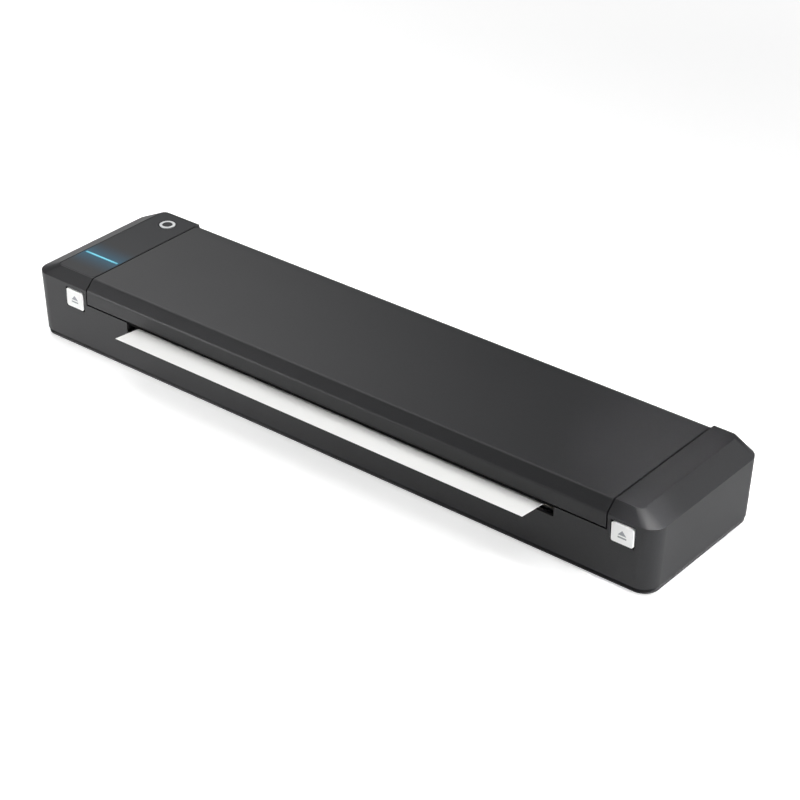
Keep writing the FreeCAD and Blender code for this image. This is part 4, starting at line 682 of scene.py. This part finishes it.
# Boards: green glass-fibre boards with copper tracks under the mask. The small one under the panel
# carries the switch and three lamps; the main one carries black chips.
def circuit_board(name, code, track_code, pitch):
    """Solder mask over copper: groups of tracks, coarser than real ones, at a pitch in mm."""
    wave_period, patch_size, track_level = 0.314, 9.0, 0.62
    made = moulded(name, code, roughness=0.35, grain=0.3, depth=0.1, speckle=0.05, sheen=0.5)
    tree = made.node_tree
    skin = tree.nodes["Principled BSDF"]
    place = knot(tree, "ShaderNodeTexCoord").outputs["Object"]
    bands = [knot(tree, "ShaderNodeTexWave", {"Vector": place, "Scale": wave_period / (pitch * MM)},
                  bands_direction=way) for way in "XY"]
    patch = knot(tree, "ShaderNodeTexVoronoi", {"Vector": place, "Scale": 1 / (patch_size * MM)},
                 distance="CHEBYCHEV")
    turned = knot(tree, "ShaderNodeMath", {0: patch.outputs["Color"], 1: 0.5}, operation="GREATER_THAN")
    both = knot(tree, "ShaderNodeMix", {0: turned.outputs[0], 2: bands[0].outputs["Fac"],
                                        3: bands[1].outputs["Fac"]})
    track = knot(tree, "ShaderNodeMath", {0: both.outputs[0], 1: track_level}, operation="GREATER_THAN")
    plain = skin.inputs["Base Color"].links[0].from_socket
    drawn = knot(tree, "ShaderNodeMix", {0: track.outputs[0], 6: plain, 7: linear(track_code)},
                 data_type="RGBA")
    tree.links.new(drawn.outputs[2], skin.inputs["Base Color"])
    return made


board = circuit_board("solder_mask_green", "#15472f", "#226042", pitch=0.8)
dress("control_board", board)
dress("main_board", board)
dress("power_switch", black_acetal)
dress("status_leds", moulded("led_package_pale", "#e9ead8", roughness=0.3, grain=0.3, depth=0.05,
                             speckle=0.02, sheen=0.5))
dress("board_parts", moulded("epoxy_black", "#1b1b1d", roughness=0.5, grain=0.3, depth=0.2,
                             speckle=0.1, sheen=0.4))


# USB socket: a nickel-plated shell at the rear with a black tongue, which carries a row of gold
# contacts on each face.
dress("usb_socket", metal("nickel_plated_shell", "#b7b5ae", roughness=0.26, grain=0.4, stretch=2.0))
low, high = box_of("usb_socket")
middle = (low + high) / 2
half = (high.x - low.x) / 2 - 1.6
tongue_half, tongue_side, tongue_foot, tongue_tip = 0.38, 0.05, 1.4, 0.9
shape = bmesh.new()
block(shape, (middle.x - half - tongue_side, low.y + tongue_foot, middle.z - tongue_half),
      (middle.x + half + tongue_side, high.y - tongue_tip, middle.z + tongue_half), edge=0.12)
finish_piece("usb_tongue", "base", shape, black_acetal)
contacts, contact_half, contact_thick, contact_margin = 6, 0.16, 0.04, 0.5
shape = bmesh.new()
for step in range(contacts):
    x = middle.x - half + contact_margin + step * (2 * half - 2 * contact_margin) / (contacts - 1)
    for level in (-0.4, 0.36):
        block(shape, (x - contact_half, low.y + 2.0, middle.z + level),
              (x + contact_half, high.y - 1.3, middle.z + level + contact_thick), edge=0.01)
gold = metal("gold_flash", "#d9b45c", roughness=0.25, grain=0.3, stretch=1.0)
finish_piece("usb_contacts", "base", shape, gold)


# Battery: a flat lithium pack in a blue PVC shrink sleeve. It lies on the bottom cover, behind the
# trough of the roll and under the deck of the tray.
dress("battery_pack", moulded("pvc_sleeve_blue", "#1d3f6e", roughness=0.32, grain=2.2, depth=0.3,
                              speckle=0.05, sheen=0.5))
